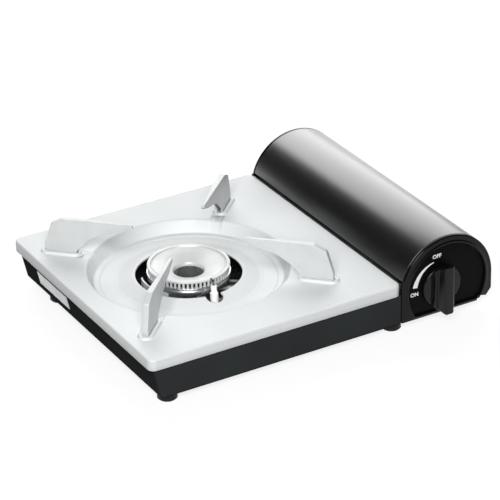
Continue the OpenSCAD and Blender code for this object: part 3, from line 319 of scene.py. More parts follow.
# Moulded rubber feet: deep black, a soft shine
FOOT = finish("foot_rubber", "foot_rubber", "#0b0b0b", 0.42, grain_mm=0.6, grain_depth=0.004,
              shade="#101010", shade_mm=8, rough_vary=0.05, shine=0.25)
# Glazed alumina of the electrode: white under a thin gloss
CERAMIC = finish("glazed_ceramic", "ceramic_white", "#fbfbf9", 0.16, shade="#f3f2ee", shade_mm=6,
                 grain_mm=1.0, grain_depth=0.002, coat=0.5, coat_rough=0.06)
# Resistance wire of the electrode and the ejector pin: grey, tinted brown by heat
WIRE = finish("heat_wire", "electrode_wire", "#8b8d8f", 0.34, metal=1.0, shade="#6f6c6a", shade_mm=4,
              grain_mm=0.3, grain_depth=0.003, rough_vary=0.06)
# Silicone sleeve of the ignition lead: cream, dull
SILICONE = finish("silicone_sleeve", "lead_silicone", "#dcd7c9", 0.5, shade="#cfc9b8", shade_mm=12,
                  grain_mm=0.5, grain_depth=0.004)
# Cream acetal of the igniter and cam: waxy
ACETAL = finish("cream_acetal", "inner_plastic", "#d6d1c2", 0.44, shade="#cbc5b3", shade_mm=12,
                grain_mm=0.5, grain_depth=0.004, rough_vary=0.04)
# Dark nylon of the rails: satin
NYLON = finish("dark_nylon", "rail_plastic", "#232426", 0.5, shade="#2a2b2e", shade_mm=20,
               grain_mm=0.6, grain_depth=0.006, rough_vary=0.04)
# Rolled aluminium sheet: rolling lines drawn along X
ROLLED = finish("rolled_aluminium", "heat_aluminium", "#d7dadb", 0.3, metal=1.0, shade="#c9cccd",
                shade_mm=25, grain_mm=0.5, grain_depth=0.003, stretch=(0.05, 1, 1), rough_vary=0.05)
# Bare name plate: lacquered aluminium foil, brushed along Y
FOIL = finish("bare_foil", "badge_white", "#dfe2e4", 0.3, metal=0.4, shade="#d3d7da", shade_mm=20,
              grain_mm=0.5, grain_depth=0.002, stretch=(1, 0.05, 1), rough_vary=0.04)

NODE_FINISH = {
    "body_tray": TRAY, "top_plate": SILVER, "pot_support_front_left": SUPPORT,
    "pot_support_front_right": SUPPORT, "pot_support_back_left": SUPPORT,
    "pot_support_back_right": SUPPORT, "front_end_cap": ABS, "rear_end_cap": ABS,
    "control_panel": PANEL, "bay_bulkhead": TRAY, "partition_wall": ZINC, "cartridge_rails": NYLON,
    "heat_plate": ROLLED, "burner_body": CASTING, "burner_cap": CAP_METAL,
    "burner_bracket": PAINTED_BRIGHT_ZINC, "burner_screws": SCREW, "mixing_tube": TUBE, "gas_nozzle": BRASS,
    "electrode_ceramic": CERAMIC, "electrode_pin": WIRE, "electrode_bracket": ZINC,
    "ignition_lead": SILICONE, "igniter_body": ACETAL, "igniter_plunger": ACETAL,
    "governor_body": GOVERNOR, "governor_cover": GOVERNOR, "governor_screws": SCREW,
    "magnet_ring": FERRITE, "inlet_socket": BRASS, "inlet_seal": NITRILE, "valve_needle": BRASS,
    "ejector_pin": WIRE, "control_knob": PHENOLIC, "valve_shaft": ZINC, "igniter_cam": ACETAL,
    "lid_shell": LID, "hinge_pin_front": PIN, "hinge_pin_rear": PIN, "foot_front_left": FOOT,
    "foot_front_right": FOOT, "foot_back_left": FOOT, "foot_back_right": FOOT,
    "plate_pillars": ZINC, "plate_screws": SCREW, "end_cap_screws": SCREW, "side_badge": FOIL,
    "lid_bumpers": NITRILE,
}
for node_name, (material, slot_name) in NODE_FINISH.items():
    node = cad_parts[node_name]
    node.data.materials.clear()
    node.data.materials.append(material)
    node.data.polygons.foreach_set("material_index", [0] * len(node.data.polygons))


# ---------- camera ----------
AZIMUTH, ELEVATION, ROLL = (math.radians(d) for d in (-29.83, 27.80, -1.22))
TARGET = Vector((75.19, 116.62, -20.0)) * MM
DISTANCE = 2686.09 * MM
back = Vector((math.sin(AZIMUTH) * math.cos(ELEVATION), -math.cos(AZIMUTH) * math.cos(ELEVATION),
               math.sin(ELEVATION)))
level = (-back).cross(Vector((0, 0, 1))).normalized()
upright = level.cross(-back)
side = math.cos(ROLL) * level + math.sin(ROLL) * upright
top = -math.sin(ROLL) * level + math.cos(ROLL) * upright
cam = new_object("camera", bpy.data.cameras.new("camera"))
cam.matrix_world = Matrix((
    (side.x, top.x, back.x, TARGET.x + back.x * DISTANCE),
    (side.y, top.y, back.y, TARGET.y + back.y * DISTANCE),
    (side.z, top.z, back.z, TARGET.z + back.z * DISTANCE),
    (0, 0, 0, 1)))
cam.data.sensor_width = 36
cam.data.lens = 190.73
cam.data.shift_x, cam.data.shift_y = -0.0238, -0.003
cam.data.clip_start, cam.data.clip_end = 0.05, 50
bpy.context.scene.camera = cam


# ---------- top plate ----------
def plate_border(t, inset, radius=7.0):
    """Distance from the well's centre to the plate's rounded rectangle, drawn in by inset, in
    direction t: the nearest side, or the corner's circle where the ray meets it past the side."""
    c, s = np.cos(t), np.sin(t)
    x_side = np.where(c > 0, PLATE_RIGHT - inset - WELL[0], WELL[0] - LEFT - inset)
    y_side = np.where(s > 0, BACK - inset - WELL[1], WELL[1] - FRONT - inset)
    flat = np.minimum(x_side / np.maximum(abs(c), 1e-9), y_side / np.maximum(abs(s), 1e-9))
    r = radius - inset
    cx, cy = x_side - r, y_side - r
    along = abs(c) * cx + abs(s) * cy
    off = cx**2 + cy**2 - r**2
    round_reach = along + np.sqrt(np.maximum(along**2 - off, 0))
    past = (abs(c) * flat > cx) & (abs(s) * flat > cy)
    return np.where(past, round_reach, flat)


def smooth(a, b, v):
    """0 below a, 1 above b, smooth between."""
    q = np.clip((v - a) / (b - a), 0, 1)
    return q * q * (3 - 2 * q)


# Well in section, (radius, height over the plate): rolled edge of the opening, ring, cone down to
# the floor, step, ledge, steep wall, rim
WELL_LINE = rounded([
    (51.9, -9.4, 0), (50.9, -8.9, 0.4), (50.8, -7.1, 0.9), (53.2, -6.7, 2), (67.0, -12.0, 5),
    (71.5, -12.9, 4), (84.0, -13.3, 0.8), (85.2, -12.4, 0.8), (90.3, -12.3, 2.0),
    (96.9, -0.05, 3.2), (101.5, 0, 0)], 6)
OPENING_R, FLAT_R = 51.0, 113.0
# The opening's front lobe: a circle of LOBE_R at the distance LOBE_FAR and angle LOBE_ANGLE
LOBE_ANGLE, LOBE_FAR, LOBE_R = math.atan2(-53, -2.5), 53.06, 8.5
LOBE_BLEND = 0.8
# Directions of the pot supports, and of the shallow channels from their slots to the well
CHANNELS = np.radians((225, 315, 135, 45))
CHANNEL_DEPTH = 1.7
PLATE_ROUND = 1.5


def plate_angles():
    """Directions from the well's centre: every three quarters of a degree, closer at the corners,
    the channels and the lobe."""
    corners = [math.atan2(y - WELL[1], x - WELL[0])
               for x in (LEFT + 3, PLATE_RIGHT - 3) for y in (FRONT + 3, BACK - 3)]
    sets = [np.arange(0, 360, 0.75)]
    sets += [np.degrees(a) % 360 + np.arange(-3, 3, 0.15) for a in corners]
    sets += [np.degrees(a) % 360 + np.arange(-5, 5, 0.25) for a in CHANNELS]
    sets += [np.degrees(LOBE_ANGLE) % 360 + np.arange(-11, 11, 0.3)]
    return np.radians(np.unique(np.round(np.concatenate(sets) % 360, 3)))


def plate_sheet():
    """Rows outwards from the burner opening. Inside, each row is a circle of WELL_LINE, pushed out
    softly round the lobe; outside, rows pass evenly from a circle to the plate's rounded rectangle,
    over the rounded edge and down the flange. Each channel is a smooth dip across the rim."""
    t = plate_angles()
    phi = (t - LOBE_ANGLE + math.pi) % TAU - math.pi
    under = LOBE_R**2 - (LOBE_FAR * np.sin(phi)) ** 2
    ahead = (under > 0) & (abs(phi) < 0.4)
    lobe = np.where(ahead, LOBE_FAR * np.cos(phi) + np.sqrt(np.maximum(under, 0)), 0)
    push = np.log(np.exp((lobe - OPENING_R) / LOBE_BLEND) + 1) * LOBE_BLEND
    push = np.where(lobe > 0, push, 0)
    drop = np.interp(OPENING_R + push, [OPENING_R, 53.2, 67, 72], [0, 0, -5.3, -6.2])
    rows = []
    for r, z in WELL_LINE:
        share = 1 - smooth(OPENING_R, 72, np.array(r))
        rows.append((r + push * share, z + drop * share))
    for r in (103, 105, 107, 109, 111, FLAT_R):
        rows.append((np.full_like(t, r), 0.0))
    edge = plate_border(t, 2 * PLATE_ROUND)
    for q in (0.25, 0.5, 0.75, 1.0):
        rows.append((FLAT_R + (edge - FLAT_R) * q, 0.0))
    for a in np.linspace(0, math.pi / 2, 7):
        rows.append((plate_border(t, PLATE_ROUND * (1 - math.sin(a))), PLATE_ROUND * (math.cos(a) - 1)))
    for z in (-6.0, -10.5, -11.0):
        rows.append((plate_border(t, 0.0 if z > -11 else 0.25), z))
    for z in (-10.6, -5.0):
        rows.append((plate_border(t, SHEET), z))
    points = np.zeros((len(rows), len(t), 3))
    for k, (r, z) in enumerate(rows):
        points[k, :, 0] = WELL[0] + r * np.cos(t)
        points[k, :, 1] = WELL[1] + r * np.sin(t)
        points[k, :, 2] = PLATE_TOP + z
        for a in CHANNELS:
            across = np.abs(r * np.sin(t - a))
            reach = r * np.cos(t - a)
            over_rim = smooth(92, 97, reach) * (1 - smooth(106, 112, reach))
            points[k, :, 2] -= CHANNEL_DEPTH * (1 - smooth(4.0, 7.5, across)) * over_rim
    return grid(points, wrap_cols=True)


SUPPORT_FOOT, SUPPORT_OUTER = 111.5, 141.5


def from_well(along, across, z, angle):
    """Points from distances along and across a direction from the well's centre, z over the plate."""
    c, s = math.cos(angle), math.sin(angle)
    x = WELL[0] + along * c - across * s
    y = WELL[1] + along * s + across * c
    return np.stack([x, y, PLATE_TOP + z], -1)


def collar(angle):
    """Raised racetrack round a support's slot: its section goes up the slot's side, over a rounded
    lip and out to the plate, and is carried round the slot."""
    section = rounded([(3.5, -1.0, 0), (3.5, 2.2, 0.7), (6.4, 2.7, 1.3), (7.6, 0.2, 0.6),
                       (9.0, 0.03, 0)], 5)
    t = np.linspace(-math.pi / 2, math.pi / 2, 25)
    ends = np.concatenate([t, t + math.pi])
    middle = np.where(np.arange(len(ends)) < len(t), SUPPORT_OUTER - 2.0, SUPPORT_FOOT + 2.0)
    along = middle + section[:, :1] * np.cos(ends)
    across = section[:, :1] * np.sin(ends)
    z = np.broadcast_to(section[:, 1:], along.shape)
    return grid(from_well(along, across, z, angle), wrap_cols=True)


plate = mesh("top_plate_pressing", [plate_sheet()], SILVER, "stove", ["top_plate"], outward=False)
PLATE_SKIN = 1.0
thick = plate.modifiers.new("sheet", "SOLIDIFY")
thick.thickness, thick.offset = PLATE_SKIN * MM, -1
for k, a in enumerate(CHANNELS):
    mesh(f"slot_collar_{k}", [collar(a)], SILVER, "stove", outward=False)


# ---------- pot supports ----------
def spread(line, n):
    """n points along a polyline, a little closer towards its end."""
    s = np.concatenate([[0], np.cumsum(np.linalg.norm(np.diff(line, axis=0), axis=1))])
    even = np.linspace(0, 1, n) ** 0.9
    return np.stack([np.interp(even * s[-1], s, line[:, k]) for k in (0, 1)], 1)


def support(angle):
    """Folded sheet: at each step from the foot to the tip the section runs up one side from the
    lower line to the upper line, round the fold, and down the other side. The half width shrinks
    evenly towards the tip, and a second skin lies inside, one sheet in."""
    steps, skin, fold_r = 90, 1.0, 0.55
    upper = rounded([(SUPPORT_OUTER, 0, 0), (SUPPORT_OUTER, 9.5, 2.5), (135, 31, 2.0), (122.5, 37, 2.0),
                     (57, 36.6, 0), (54.3, 36.0, 0), (53.8, 34.8, 0)], 8)
    lower = rounded([(SUPPORT_FOOT, 0, 0), (109, 6, 6), (100, 15, 10), (88, 23, 14), (68, 28, 14),
                     (54.6, 32.9, 0), (53.9, 33.9, 0)], 8)
    out, inn = spread(upper, steps), spread(lower, steps)
    half = np.interp(out[:, 0], [54, 122.5], [1.35, 3.0])[:, None]
    tall = np.linalg.norm(inn - out, axis=1)[:, None]
    down = unit(inn - out)
    fold = np.minimum(fold_r, half * 0.6)
    skins = []
    for back_off in (0.0, skin):
        w = np.maximum(half - back_off, 0.15)
        f = np.maximum(fold - back_off * 0.7, 0.12)
        depth, width = [tall], [-w]
        for q in np.linspace(0, math.pi / 2, 6):
            depth.append(back_off + f * (1 - np.sin(q)))
            width.append(-w + f * (1 - np.cos(q)))
        depth, width = np.array(depth), np.array(width)
        depth = np.concatenate([depth, depth[::-1]])
        width = np.concatenate([width, -width[::-1]])
        flat = out[None] + down[None] * depth
        skins.append(from_well(flat[..., 0], width[..., 0], flat[..., 1], angle))
    outer, inner = skins
    return grid(np.concatenate([outer, inner[::-1]]), wrap_rows=True)


SUPPORT_NODES = ("pot_support_front_left", "pot_support_front_right", "pot_support_back_left",
                 "pot_support_back_right")
for a, node_name in zip(CHANNELS, SUPPORT_NODES):
    mesh(node_name + "_fold", [support(a)], SUPPORT, "stove", [node_name])


# ---------- burner ----------
HEAD_R, SEAT, PORT_TOP, PORT_DEPTH = 38.9, 46.0, 50.95, 4.4
PORTS = 60
# Steps round one port, in shares of its pitch, and the shares between which it is open
PORT_STEPS = np.array([0, 0.12, 0.23, 0.26, 0.38, 0.5, 0.62, 0.74, 0.77, 0.88])
PORT_OPEN, PORT_SHUT = 0.25, 0.75


def ported_cap():
    """Cap in section, turned round the axis; over the skirt the radius drops inside each port."""
    skirt = [(HEAD_R, SEAT, False), (HEAD_R, 46.25, True), (HEAD_R, 50.7, True),
             (HEAD_R, PORT_TOP, False)]
    over_top = [(r, z, False) for r, z in rounded([
        (HEAD_R, PORT_TOP, 0), (39.5, 51.4, 0.4), (39.4, 52.8, 0.5), (38.2, 53.1, 0.4), (36.3, 53.0, 0.4),
        (35.3, 51.3, 0.4), (34.2, 51.9, 0.4), (27.5, 49.9, 4), (19.0, 46.8, 5), (15.2, 45.3, 1.5),
        (14.4, 43.6, 0.6), (14.3, 41.0, 0), (16.4, 41.0, 0)], 6)]
    t = ((np.arange(PORTS)[:, None] + PORT_STEPS) * TAU / PORTS).ravel()
    inside = np.tile((PORT_STEPS > PORT_OPEN) & (PORT_STEPS < PORT_SHUT), PORTS)
    rows = []
    for r, z, ported in skirt + over_top[1:]:
        radius = np.full(len(t), r) - (PORT_DEPTH * inside if ported else 0)
        x = WELL[0] + radius * np.cos(t)
        y = WELL[1] + radius * np.sin(t)
        rows.append(np.stack([x, y, np.full(len(t), z)], 1))
    return grid(np.array(rows), wrap_cols=True)


mesh("burner_cap_casting", [ported_cap()], CAP_METAL, "stove", ["burner_cap"], crease=50, outward=False)
# A dark ring behind the ports' mouths: painted shade, so that the ports read dark
PORT_SHADE_LINE = rounded([(37.3, 46.1, 0), (37.6, 46.3, 0.1), (37.6, 50.7, 0.1), (37.3, 50.9, 0),
                     (37.0, 48.5, 0)], 3, closed=True)
mesh("port_shade_ring", [lathe(PORT_SHADE_LINE, WELL)], PORT_SHADE, "stove")
# Body in section: central tube, mixing chamber, bulging polished band, seat of the cap, inside
BODY_LINE = rounded([
    (14.3, 42.0, 0), (14.3, 16.2, 0), (28.0, 16.2, 1.0), (28.0, 33.8, 2), (34.5, 35.2, 2.5),
    (39.0, 38.0, 2.5), (40.0, 41.6, 2.5), (38.7, 44.2, 0.4), (40.1, 44.6, 0.5), (40.2, 45.8, 0.5),
    (38.6, 46.05, 0), (36.6, 46.0, 0), (36.6, 43.0, 0), (31.4, 39.0, 2), (26.0, 36.0, 2),
    (26.0, 18.2, 1), (16.3, 18.2, 1), (16.3, 42.0, 0)], 6, closed=True)
mesh("burner_body_casting", [lathe(BODY_LINE, WELL)], CASTING, "stove", ["burner_body"])


# ---------- lid ----------
def strip(path, loop):
    """Carries a loop (sideways, Y) along a path in X and Z, its ends filled."""
    m = mitres(path, False)
    flat = path[:, None, :] + m[:, None, :] * loop[None, :, :1]
    y = np.broadcast_to(loop[None, :, 1], flat.shape[:2])
    return grid(np.stack([flat[..., 0], y, flat[..., 1]], -1), wrap_cols=True, cap_ends=True)


LID_GAP, LID_T = 0.3, 1.5
LID_Y0, LID_Y1 = FRONT + CAP_T + LID_GAP, BACK - CAP_T - LID_GAP
# The lid's free edge stands 15.5 mm over the arch's centre
EDGE_A = 180 - math.degrees(math.asin(15.5 / ARCH_R))
lid_path = np.concatenate([
    arc(ARCH, ARCH_R, EDGE_A, 0, 96),
    rounded([(184, 30, 0), (184, 18.0, 1.5), (178.0, 11.0, 0)], 6)])
lid_loop = rounded([(0, LID_Y0, 0.5), (LID_T, LID_Y0, 0.5), (LID_T, LID_Y1, 0.5), (0, LID_Y1, 0.5)],
                   4, closed=True)


def lid_lip():
    """Lip folded in under the lid's free edge, between the caps' collars."""
    edge = math.radians(EDGE_A)
    ring = rounded([(47.5, 0, 0.5), (50.2, 0, 0), (50.2, LID_T, 0), (47.5, LID_T, 0.5)], 4, closed=True)
    x = ARCH[0] + ring[:, 0] * math.cos(edge) + ring[:, 1] * math.sin(edge)
    z = ARCH[1] + ring[:, 0] * math.sin(edge) - ring[:, 1] * math.cos(edge)
    return bar_y(np.stack([x, z], 1), FRONT + COLLAR_TO + LID_GAP, BACK - COLLAR_TO - LID_GAP)


def ear(y0, y1, r_out=6.2, r_in=2.55, bevel=0.4):
    """Ring round a hinge pin, its outer edges rounded."""
    line = rounded([(r_in, y0, 0), (r_out, y0, bevel), (r_out, y1, bevel), (r_in, y1, 0)], 4, closed=True)
    return lathe_y(line, HINGE, 64)


EAR_T = 3.0
ears = [ear(y, y + EAR_T) for y in (LID_Y0 + 0.5, LID_Y1 - 0.5 - EAR_T)]
mesh("lid_rolled_sheet", [strip(lid_path, lid_loop), lid_lip(), *ears], LID, "lid", ["lid_shell"])


# ---------- end caps ----------
CAP_X = 82.3


def cap_outline():
    """Outline of an end cap in X and Z, from its left side down: foot, step, hinge corner, straight
    side, arch, and back to the left side beside the plate."""
    low = rounded([(CAP_X, 40.0, 0), (CAP_X, 8.2, 1.2), (168.0, 8.2, 0.6), (169.0, 13.4, 0.8),
                   (178.0, 11.0, 1.0), (184.0, 18.0, 1.5), (184.0, 35.0, 0)], 5)
    start = math.degrees(math.asin(13.9 / ARCH_R))
    bow = arc(ARCH, ARCH_R, 0, 180 - start, 120)
    return np.concatenate([low, bow, np.array([(CAP_X, 49.8), (CAP_X, 45.0)])])


def resample(path, angles, centre):
    """Points where rays from centre meet a closed path that is star-shaped about it."""
    d = path - centre
    t = np.arctan2(d[:, 1], d[:, 0]) % TAU
    order = np.argsort(t)
    t, d = t[order], d[order]
    t = np.concatenate([t[-1:] - TAU, t, t[:1] + TAU])
    d = np.concatenate([d[-1:], d, d[:1]])
    k = np.clip(np.searchsorted(t, angles), 1, len(t) - 1)
    p, q = d[k - 1], d[k]
    u = np.stack([np.cos(angles), np.sin(angles)], 1)
    e = q - p
    den = u[:, 0] * e[:, 1] - u[:, 1] * e[:, 0]
    reach = (p[:, 0] * e[:, 1] - p[:, 1] * e[:, 0]) / np.where(abs(den) < 1e-9, 1e-9, den)
    return centre + u * reach[:, None]


def panel_curve(grow):
    """Outline of the control panel: a circle cut level at its foot, grown by grow."""
    r, low = PANEL_R + grow, PANEL_LOW - grow
    a = math.degrees(math.asin((ARCH[1] - low) / r))
    bow = arc(ARCH, r, -a, 180 + a, 160)
    return rounded([(*bow[0], 1.5)] + [(*p, 0) for p in bow[1:-1]] + [(*bow[-1], 1.5)], 5, closed=True)


# The point that the outlines of cap and panel are star-shaped about
MID = np.array((133.0, 30.0))
# The caps' rounded outer edge, the gap round the panel, the rib raised round its opening, and the
# depth that the rear cap's field lies under its face
CAP_ROUND, PANEL_GAP, RIB, FIELD = 1.5, 0.25, 0.9, 0.5


def shrunk(row, share):
    """A row of points drawn in to a share of its distance from MID."""
    return MID + (row - MID) * share


def loops(rows):
    """Closed skin over rows of (curve in X and Z, Y)."""
    return grid(np.stack([at_y(curve, y) for curve, y in rows]), wrap_rows=True, wrap_cols=True)


def end_cap(front):
    """Cap from its back edge over the rounded outer edge to the face. The front cap goes on over a
    raised rib and the rounded edge of the panel's opening; the rear one closes over a shallow field."""
    outline = cap_outline()
    m = mitres(outline, True)
    d = outline - MID
    own = np.arctan2(d[:, 1], d[:, 0]) % TAU
    angles = np.unique(np.round(np.concatenate([own, np.arange(0, TAU, TAU / 240)]), 6))
    x, z = outline.T
    inward = -1 if np.sum(x * np.roll(z, -1) - z * np.roll(x, -1)) > 0 else 1
    face, sign = (FRONT, 1) if front else (BACK, -1)
    rows = [(resample(outline, angles, MID), face + sign * CAP_T)]
    for a in np.linspace(0, math.pi / 2, 6):
        inset = inward * CAP_ROUND * (1 - math.cos(a))
        y = face + sign * CAP_ROUND * (1 - math.sin(a))
        rows.append((resample(outline + m * inset, angles, MID), y))
    if front:
        room = np.linalg.norm(rows[-1][0] - MID, axis=1, keepdims=True) * 0.99
        for grow, y in ((3.1, face), (2.9, face - 0.12), (2.0, face - 0.85), (1.7, face - RIB)):
            ring = resample(panel_curve(grow), angles, MID) - MID
            far = np.linalg.norm(ring, axis=1, keepdims=True)
            rows.append((MID + ring * np.minimum(1, room / far), y))
        for a in np.linspace(0, math.pi / 2, 5):
            edge = panel_curve(PANEL_GAP + 1.0 - math.sin(a))
            rows.append((resample(edge, angles, MID), face - RIB + 1.0 - math.cos(a)))
        rows.append((resample(panel_curve(PANEL_GAP), angles, MID), face + CAP_T))
    else:
        for share, y in ((0.86, face), (0.985, face - FIELD), (0.5, face - FIELD), (0.001, face - FIELD)):
            rows.append((shrunk(rows[-1][0], share), y))
        rows.append((shrunk(rows[0][0], 0.001), face - CAP_T))
    return loops(rows)


def sleeve(y0, y1):
    """Curved collar under the lid's end."""
    outer, inner = 49.2, 46.7
    low = math.degrees(math.asin(14 / outer))
    bows = [arc(ARCH, r, 180 - low, 0, 60) for r in (outer, inner)]
    return bar_y(np.concatenate([bows[0], bows[1][::-1]]), y0, y1)


mesh("front_cap_moulding", [end_cap(True), sleeve(FRONT + COLLAR_FROM, FRONT + COLLAR_TO)], ABS,
     "stove", ["front_end_cap"])
mesh("rear_cap_moulding", [end_cap(False), sleeve(BACK - COLLAR_TO, BACK - COLLAR_FROM)], ABS,
     "stove", ["rear_end_cap"])


# ---------- control panel ----------
def panel_plate():
    """Panel: side, small rounded edge, and a face that closes at its middle."""
    angles = np.arange(0, TAU, TAU / 360)
    back_y = FRONT + CAP_T
    rows = [(resample(panel_curve(grow), angles, MID), y) for grow, y in (
        (0.0, back_y), (0.0, PANEL_Y + 0.4), (-0.12, PANEL_Y + 0.12), (-0.4, PANEL_Y))]
    face = rows[-1][0]
    rows += [(shrunk(face, share), PANEL_Y) for share in (0.6, 0.3, 0.001)]
    rows.append((shrunk(rows[0][0], 0.001), back_y))
    return loops(rows)


mesh("panel_face", [panel_plate()], PANEL, "stove", ["control_panel"])

# How far the print stands out from the panel
INK_T = 0.12


def printed_arc():
    """Tapered mark round the knob: its outer radius shrinks evenly from the ON end to the OFF end."""
    steps = 49
    t = np.radians(np.linspace(173, 106, steps))
    outer = np.linspace(30.7, 26.3, steps)
    inner = np.full(steps, 25.5)
    under, top_y = PANEL_Y + 0.02, PANEL_Y - INK_T
    rows = []
    for r, y in ((inner, under), (inner, top_y), (outer, top_y), (outer, under)):
        rows.append(np.stack([KNOB[0] + r * np.cos(t), np.full(steps, y), KNOB[1] + r * np.sin(t)], 1))
    return grid(np.array(rows).transpose(1, 0, 2), wrap_cols=True, cap_ends=True)


mesh("print_arc", [printed_arc()], INK, "stove")


def print_word(name, word, size, angle, radius):
    """A word of plain capitals, 0.1 mm thick, its middle at an angle and radius from the knob's axis."""
    curve = bpy.data.curves.new(name, "FONT")
    curve.body, curve.size, curve.extrude, curve.resolution_u = word, size, 0.05, 4
    curve.align_x, curve.align_y, curve.offset = "CENTER", "CENTER", size * 0.03
    maker = new_object(name + "_maker", curve)
    bpy.context.view_layer.update()
    data = bpy.data.meshes.new_from_object(maker.evaluated_get(bpy.context.evaluated_depsgraph_get()))
    bpy.data.objects.remove(maker)
    x = KNOB[0] + radius * math.cos(math.radians(angle))
    z = KNOB[1] + radius * math.sin(math.radians(angle))
    place = Matrix.Translation((x * MM, (PANEL_Y - INK_T / 2) * MM, z * MM))
    data.transform(place @ Matrix.Rotation(math.pi / 2, 4, "X") @ Matrix.Scale(MM, 4))
    data.name = name
    data.materials.clear()
    data.materials.append(INK[0])
    obj = new_object(name, data)
    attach(obj, "stove")


LETTER = 5.6
print_word("print_off", "OFF", LETTER, 97, 30.6)
print_word("print_on", "ON", LETTER, 187, 28.8)


# ---------- knob ----------
DISC_FRONT, KNOB_FRONT = FRONT - 3.2, FRONT - 16.0
DISC_R, DISC_BACK = 20.7, FRONT + 0.9
GRIP_HALF, GRIP_BEVEL, BEVEL_STEPS = 25.5, 1.3, 6


def knob_disc():
    """Disc with a rounded edge, turned round the knob's axis and closed at its middle."""
    line = rounded([(0.01, DISC_BACK, 0), (DISC_R, DISC_BACK, 0.3), (DISC_R, DISC_FRONT, 1.2),
                    (0.01, DISC_FRONT - 0.4, 0)], 6)
    return lathe_y(line, KNOB, 128)


def knob_grip():
    """Grip: across, a stepped taper with soft ridges from the disc to the narrow front. Along, its
    reach passes evenly from the disc's circle to the grip's half length, so that the ends lean
    outwards, with rounded edges. The last face closes its back."""
    sunk = DISC_FRONT + 1.0
    half = [(-12.7, sunk, 0), (-12.4, DISC_FRONT - 0.6, 0.8), (-10.4, FRONT - 8.4, 1.6),
            (-7.6, FRONT - 8.0, 1.4), (-4.7, KNOB_FRONT + 0.1, 2.0)]
    across = rounded(half + [(-x, y, r) for x, y, r in half[::-1]], 6)
    depth = (sunk - across[:, 1]) / (sunk - KNOB_FRONT)
    reach = np.sqrt(np.maximum(20.4**2 - across[:, 0] ** 2, 0)) * (1 - depth) + GRIP_HALF * depth
    reach = reach - 0.8 * np.clip(np.abs(across[:, 0]) / 4.4, 0, 1) ** 3 * smooth(0.5, 1, depth)
    turn = np.linspace(0, math.pi / 2, BEVEL_STEPS)
    rows = []
    for sign, q in [(-1, q) for q in turn] + [(1, q) for q in turn[::-1]]:
        shrink = GRIP_BEVEL * (1 - math.sin(q))
        z = sign * (reach - GRIP_BEVEL + GRIP_BEVEL * math.cos(q))
        x = across[:, 0] * (1 - shrink / 8.0)
        y = across[:, 1] + shrink * smooth(0.15, 0.6, depth)
        rows.append(np.stack([KNOB[0] + x, y, KNOB[1] + z], 1))
    points, faces = grid(np.array(rows), cap_ends=True)
    n, m = len(rows), len(across)
    faces.append([k * m for k in range(n)] + [k * m + m - 1 for k in range(n - 1, -1, -1)])
    return points, faces


mesh("knob_moulding", [knob_disc(), knob_grip()], PHENOLIC, "knob", ["control_knob"], crease=50)


# ---------- tray ----------
TRAY_TOP, WALL_INSET, FOOT_ROUND = 48.8, 1.7, 2.5
FLANGE_END, CORNER_CUT = 38.75, 6.0
VENT_LONG, VENT_WIDE, VENT_PITCH, VENT_SIDE, VENT_FIRST = 40.0, 5.0, 10.0, 62.0, 85.0


def tray_inset(z):
    """How far the left wall stands in at height z: 2 mm at the top, 11 mm at the floor."""
    return 2.0 + 9.0 * (TRAY_TOP - z) / (TRAY_TOP - FLOOR_UNDER)


def tray_walls():
    """Three walls on a plan of two rounded corners, from the plate down over a rounded foot to the
    floor; then back up inside, one sheet thick. Beside the plate's flange the long walls end
    earlier on the right."""
    outer = [(z, 0.0) for z in (TRAY_TOP, 38.8, 38.7, 30.0, 20.0, 10.5)]
    for a in np.linspace(0.2, math.pi / 2, 6):
        outer.append((FLOOR_UNDER + FOOT_ROUND * (1 - math.sin(a)), FOOT_ROUND * (1 - math.cos(a))))
    inner = [(FLOOR_TOP, 3.2), (9.0, 1.5)] + [(z, SHEET) for z in (12.0, 38.7, 38.8, TRAY_TOP)]
    rows = []
    for z, draw in outer + inner:
        left = LEFT + tray_inset(max(z, FLOOR_UNDER)) + draw
        front, rear = FRONT + WALL_INSET + draw, BACK - WALL_INSET - draw
        corner = max(4.0 - draw, 1.0)
        right = PLATE_RIGHT if z < FLANGE_END else PLATE_RIGHT - CORNER_CUT
        plan = rounded([(right, front, 0), (left, front, corner), (left, rear, corner),
                        (right, rear, 0)], 6)
        rows.append(np.column_stack([plan, np.full(len(plan), z)]))
    return grid(np.array(rows), wrap_rows=True)


def tray_floor():
    """Floor as a sheet on a grid whose lines follow the vents' edges; the vents' cells are left out
    and their walls are drawn."""
    vents = []
    for side in (-1, 1):
        x = WELL[0] + side * VENT_SIDE
        for y in VENT_FIRST + VENT_PITCH * np.arange(5):
            vents.append((x - VENT_LONG / 2, x + VENT_LONG / 2, y, y + VENT_WIDE))
    xs = np.unique([LEFT + 13.2, PLATE_RIGHT, 169.0] + [v for a in vents for v in a[:2]])
    ys = np.unique([FRONT + 4.2, BACK - 4.2] + [v for a in vents for v in a[2:]])
    n, m = len(xs), len(ys)
    x, y = np.meshgrid(xs, ys, indexing="ij")
    points = np.concatenate([np.stack([x, y, np.full_like(x, z)], -1).reshape(-1, 3)
                             for z in (FLOOR_UNDER, FLOOR_TOP)])
    solid = np.ones((n - 1, m - 1), bool)
    for i in range(n - 1):
        for j in range(m - 1):
            cx, cy = (xs[i] + xs[i + 1]) / 2, (ys[j] + ys[j + 1]) / 2
            solid[i, j] = not any(a < cx < b and c < cy < d for a, b, c, d in vents)
    faces = []
    up = n * m
    for i, j in np.argwhere(solid).tolist():
        a, b, c, d = i * m + j, (i + 1) * m + j, (i + 1) * m + j + 1, i * m + j + 1
        faces += [[a, d, c, b], [a + up, b + up, c + up, d + up]]
        for di, dj, p, q in ((-1, 0, a, d), (1, 0, c, b), (0, -1, b, a), (0, 1, d, c)):
            u, v = i + di, j + dj
            if not (0 <= u < n - 1 and 0 <= v < m - 1) or not solid[u, v]:
                faces.append([p, q, q + up, p + up])
    return points, faces


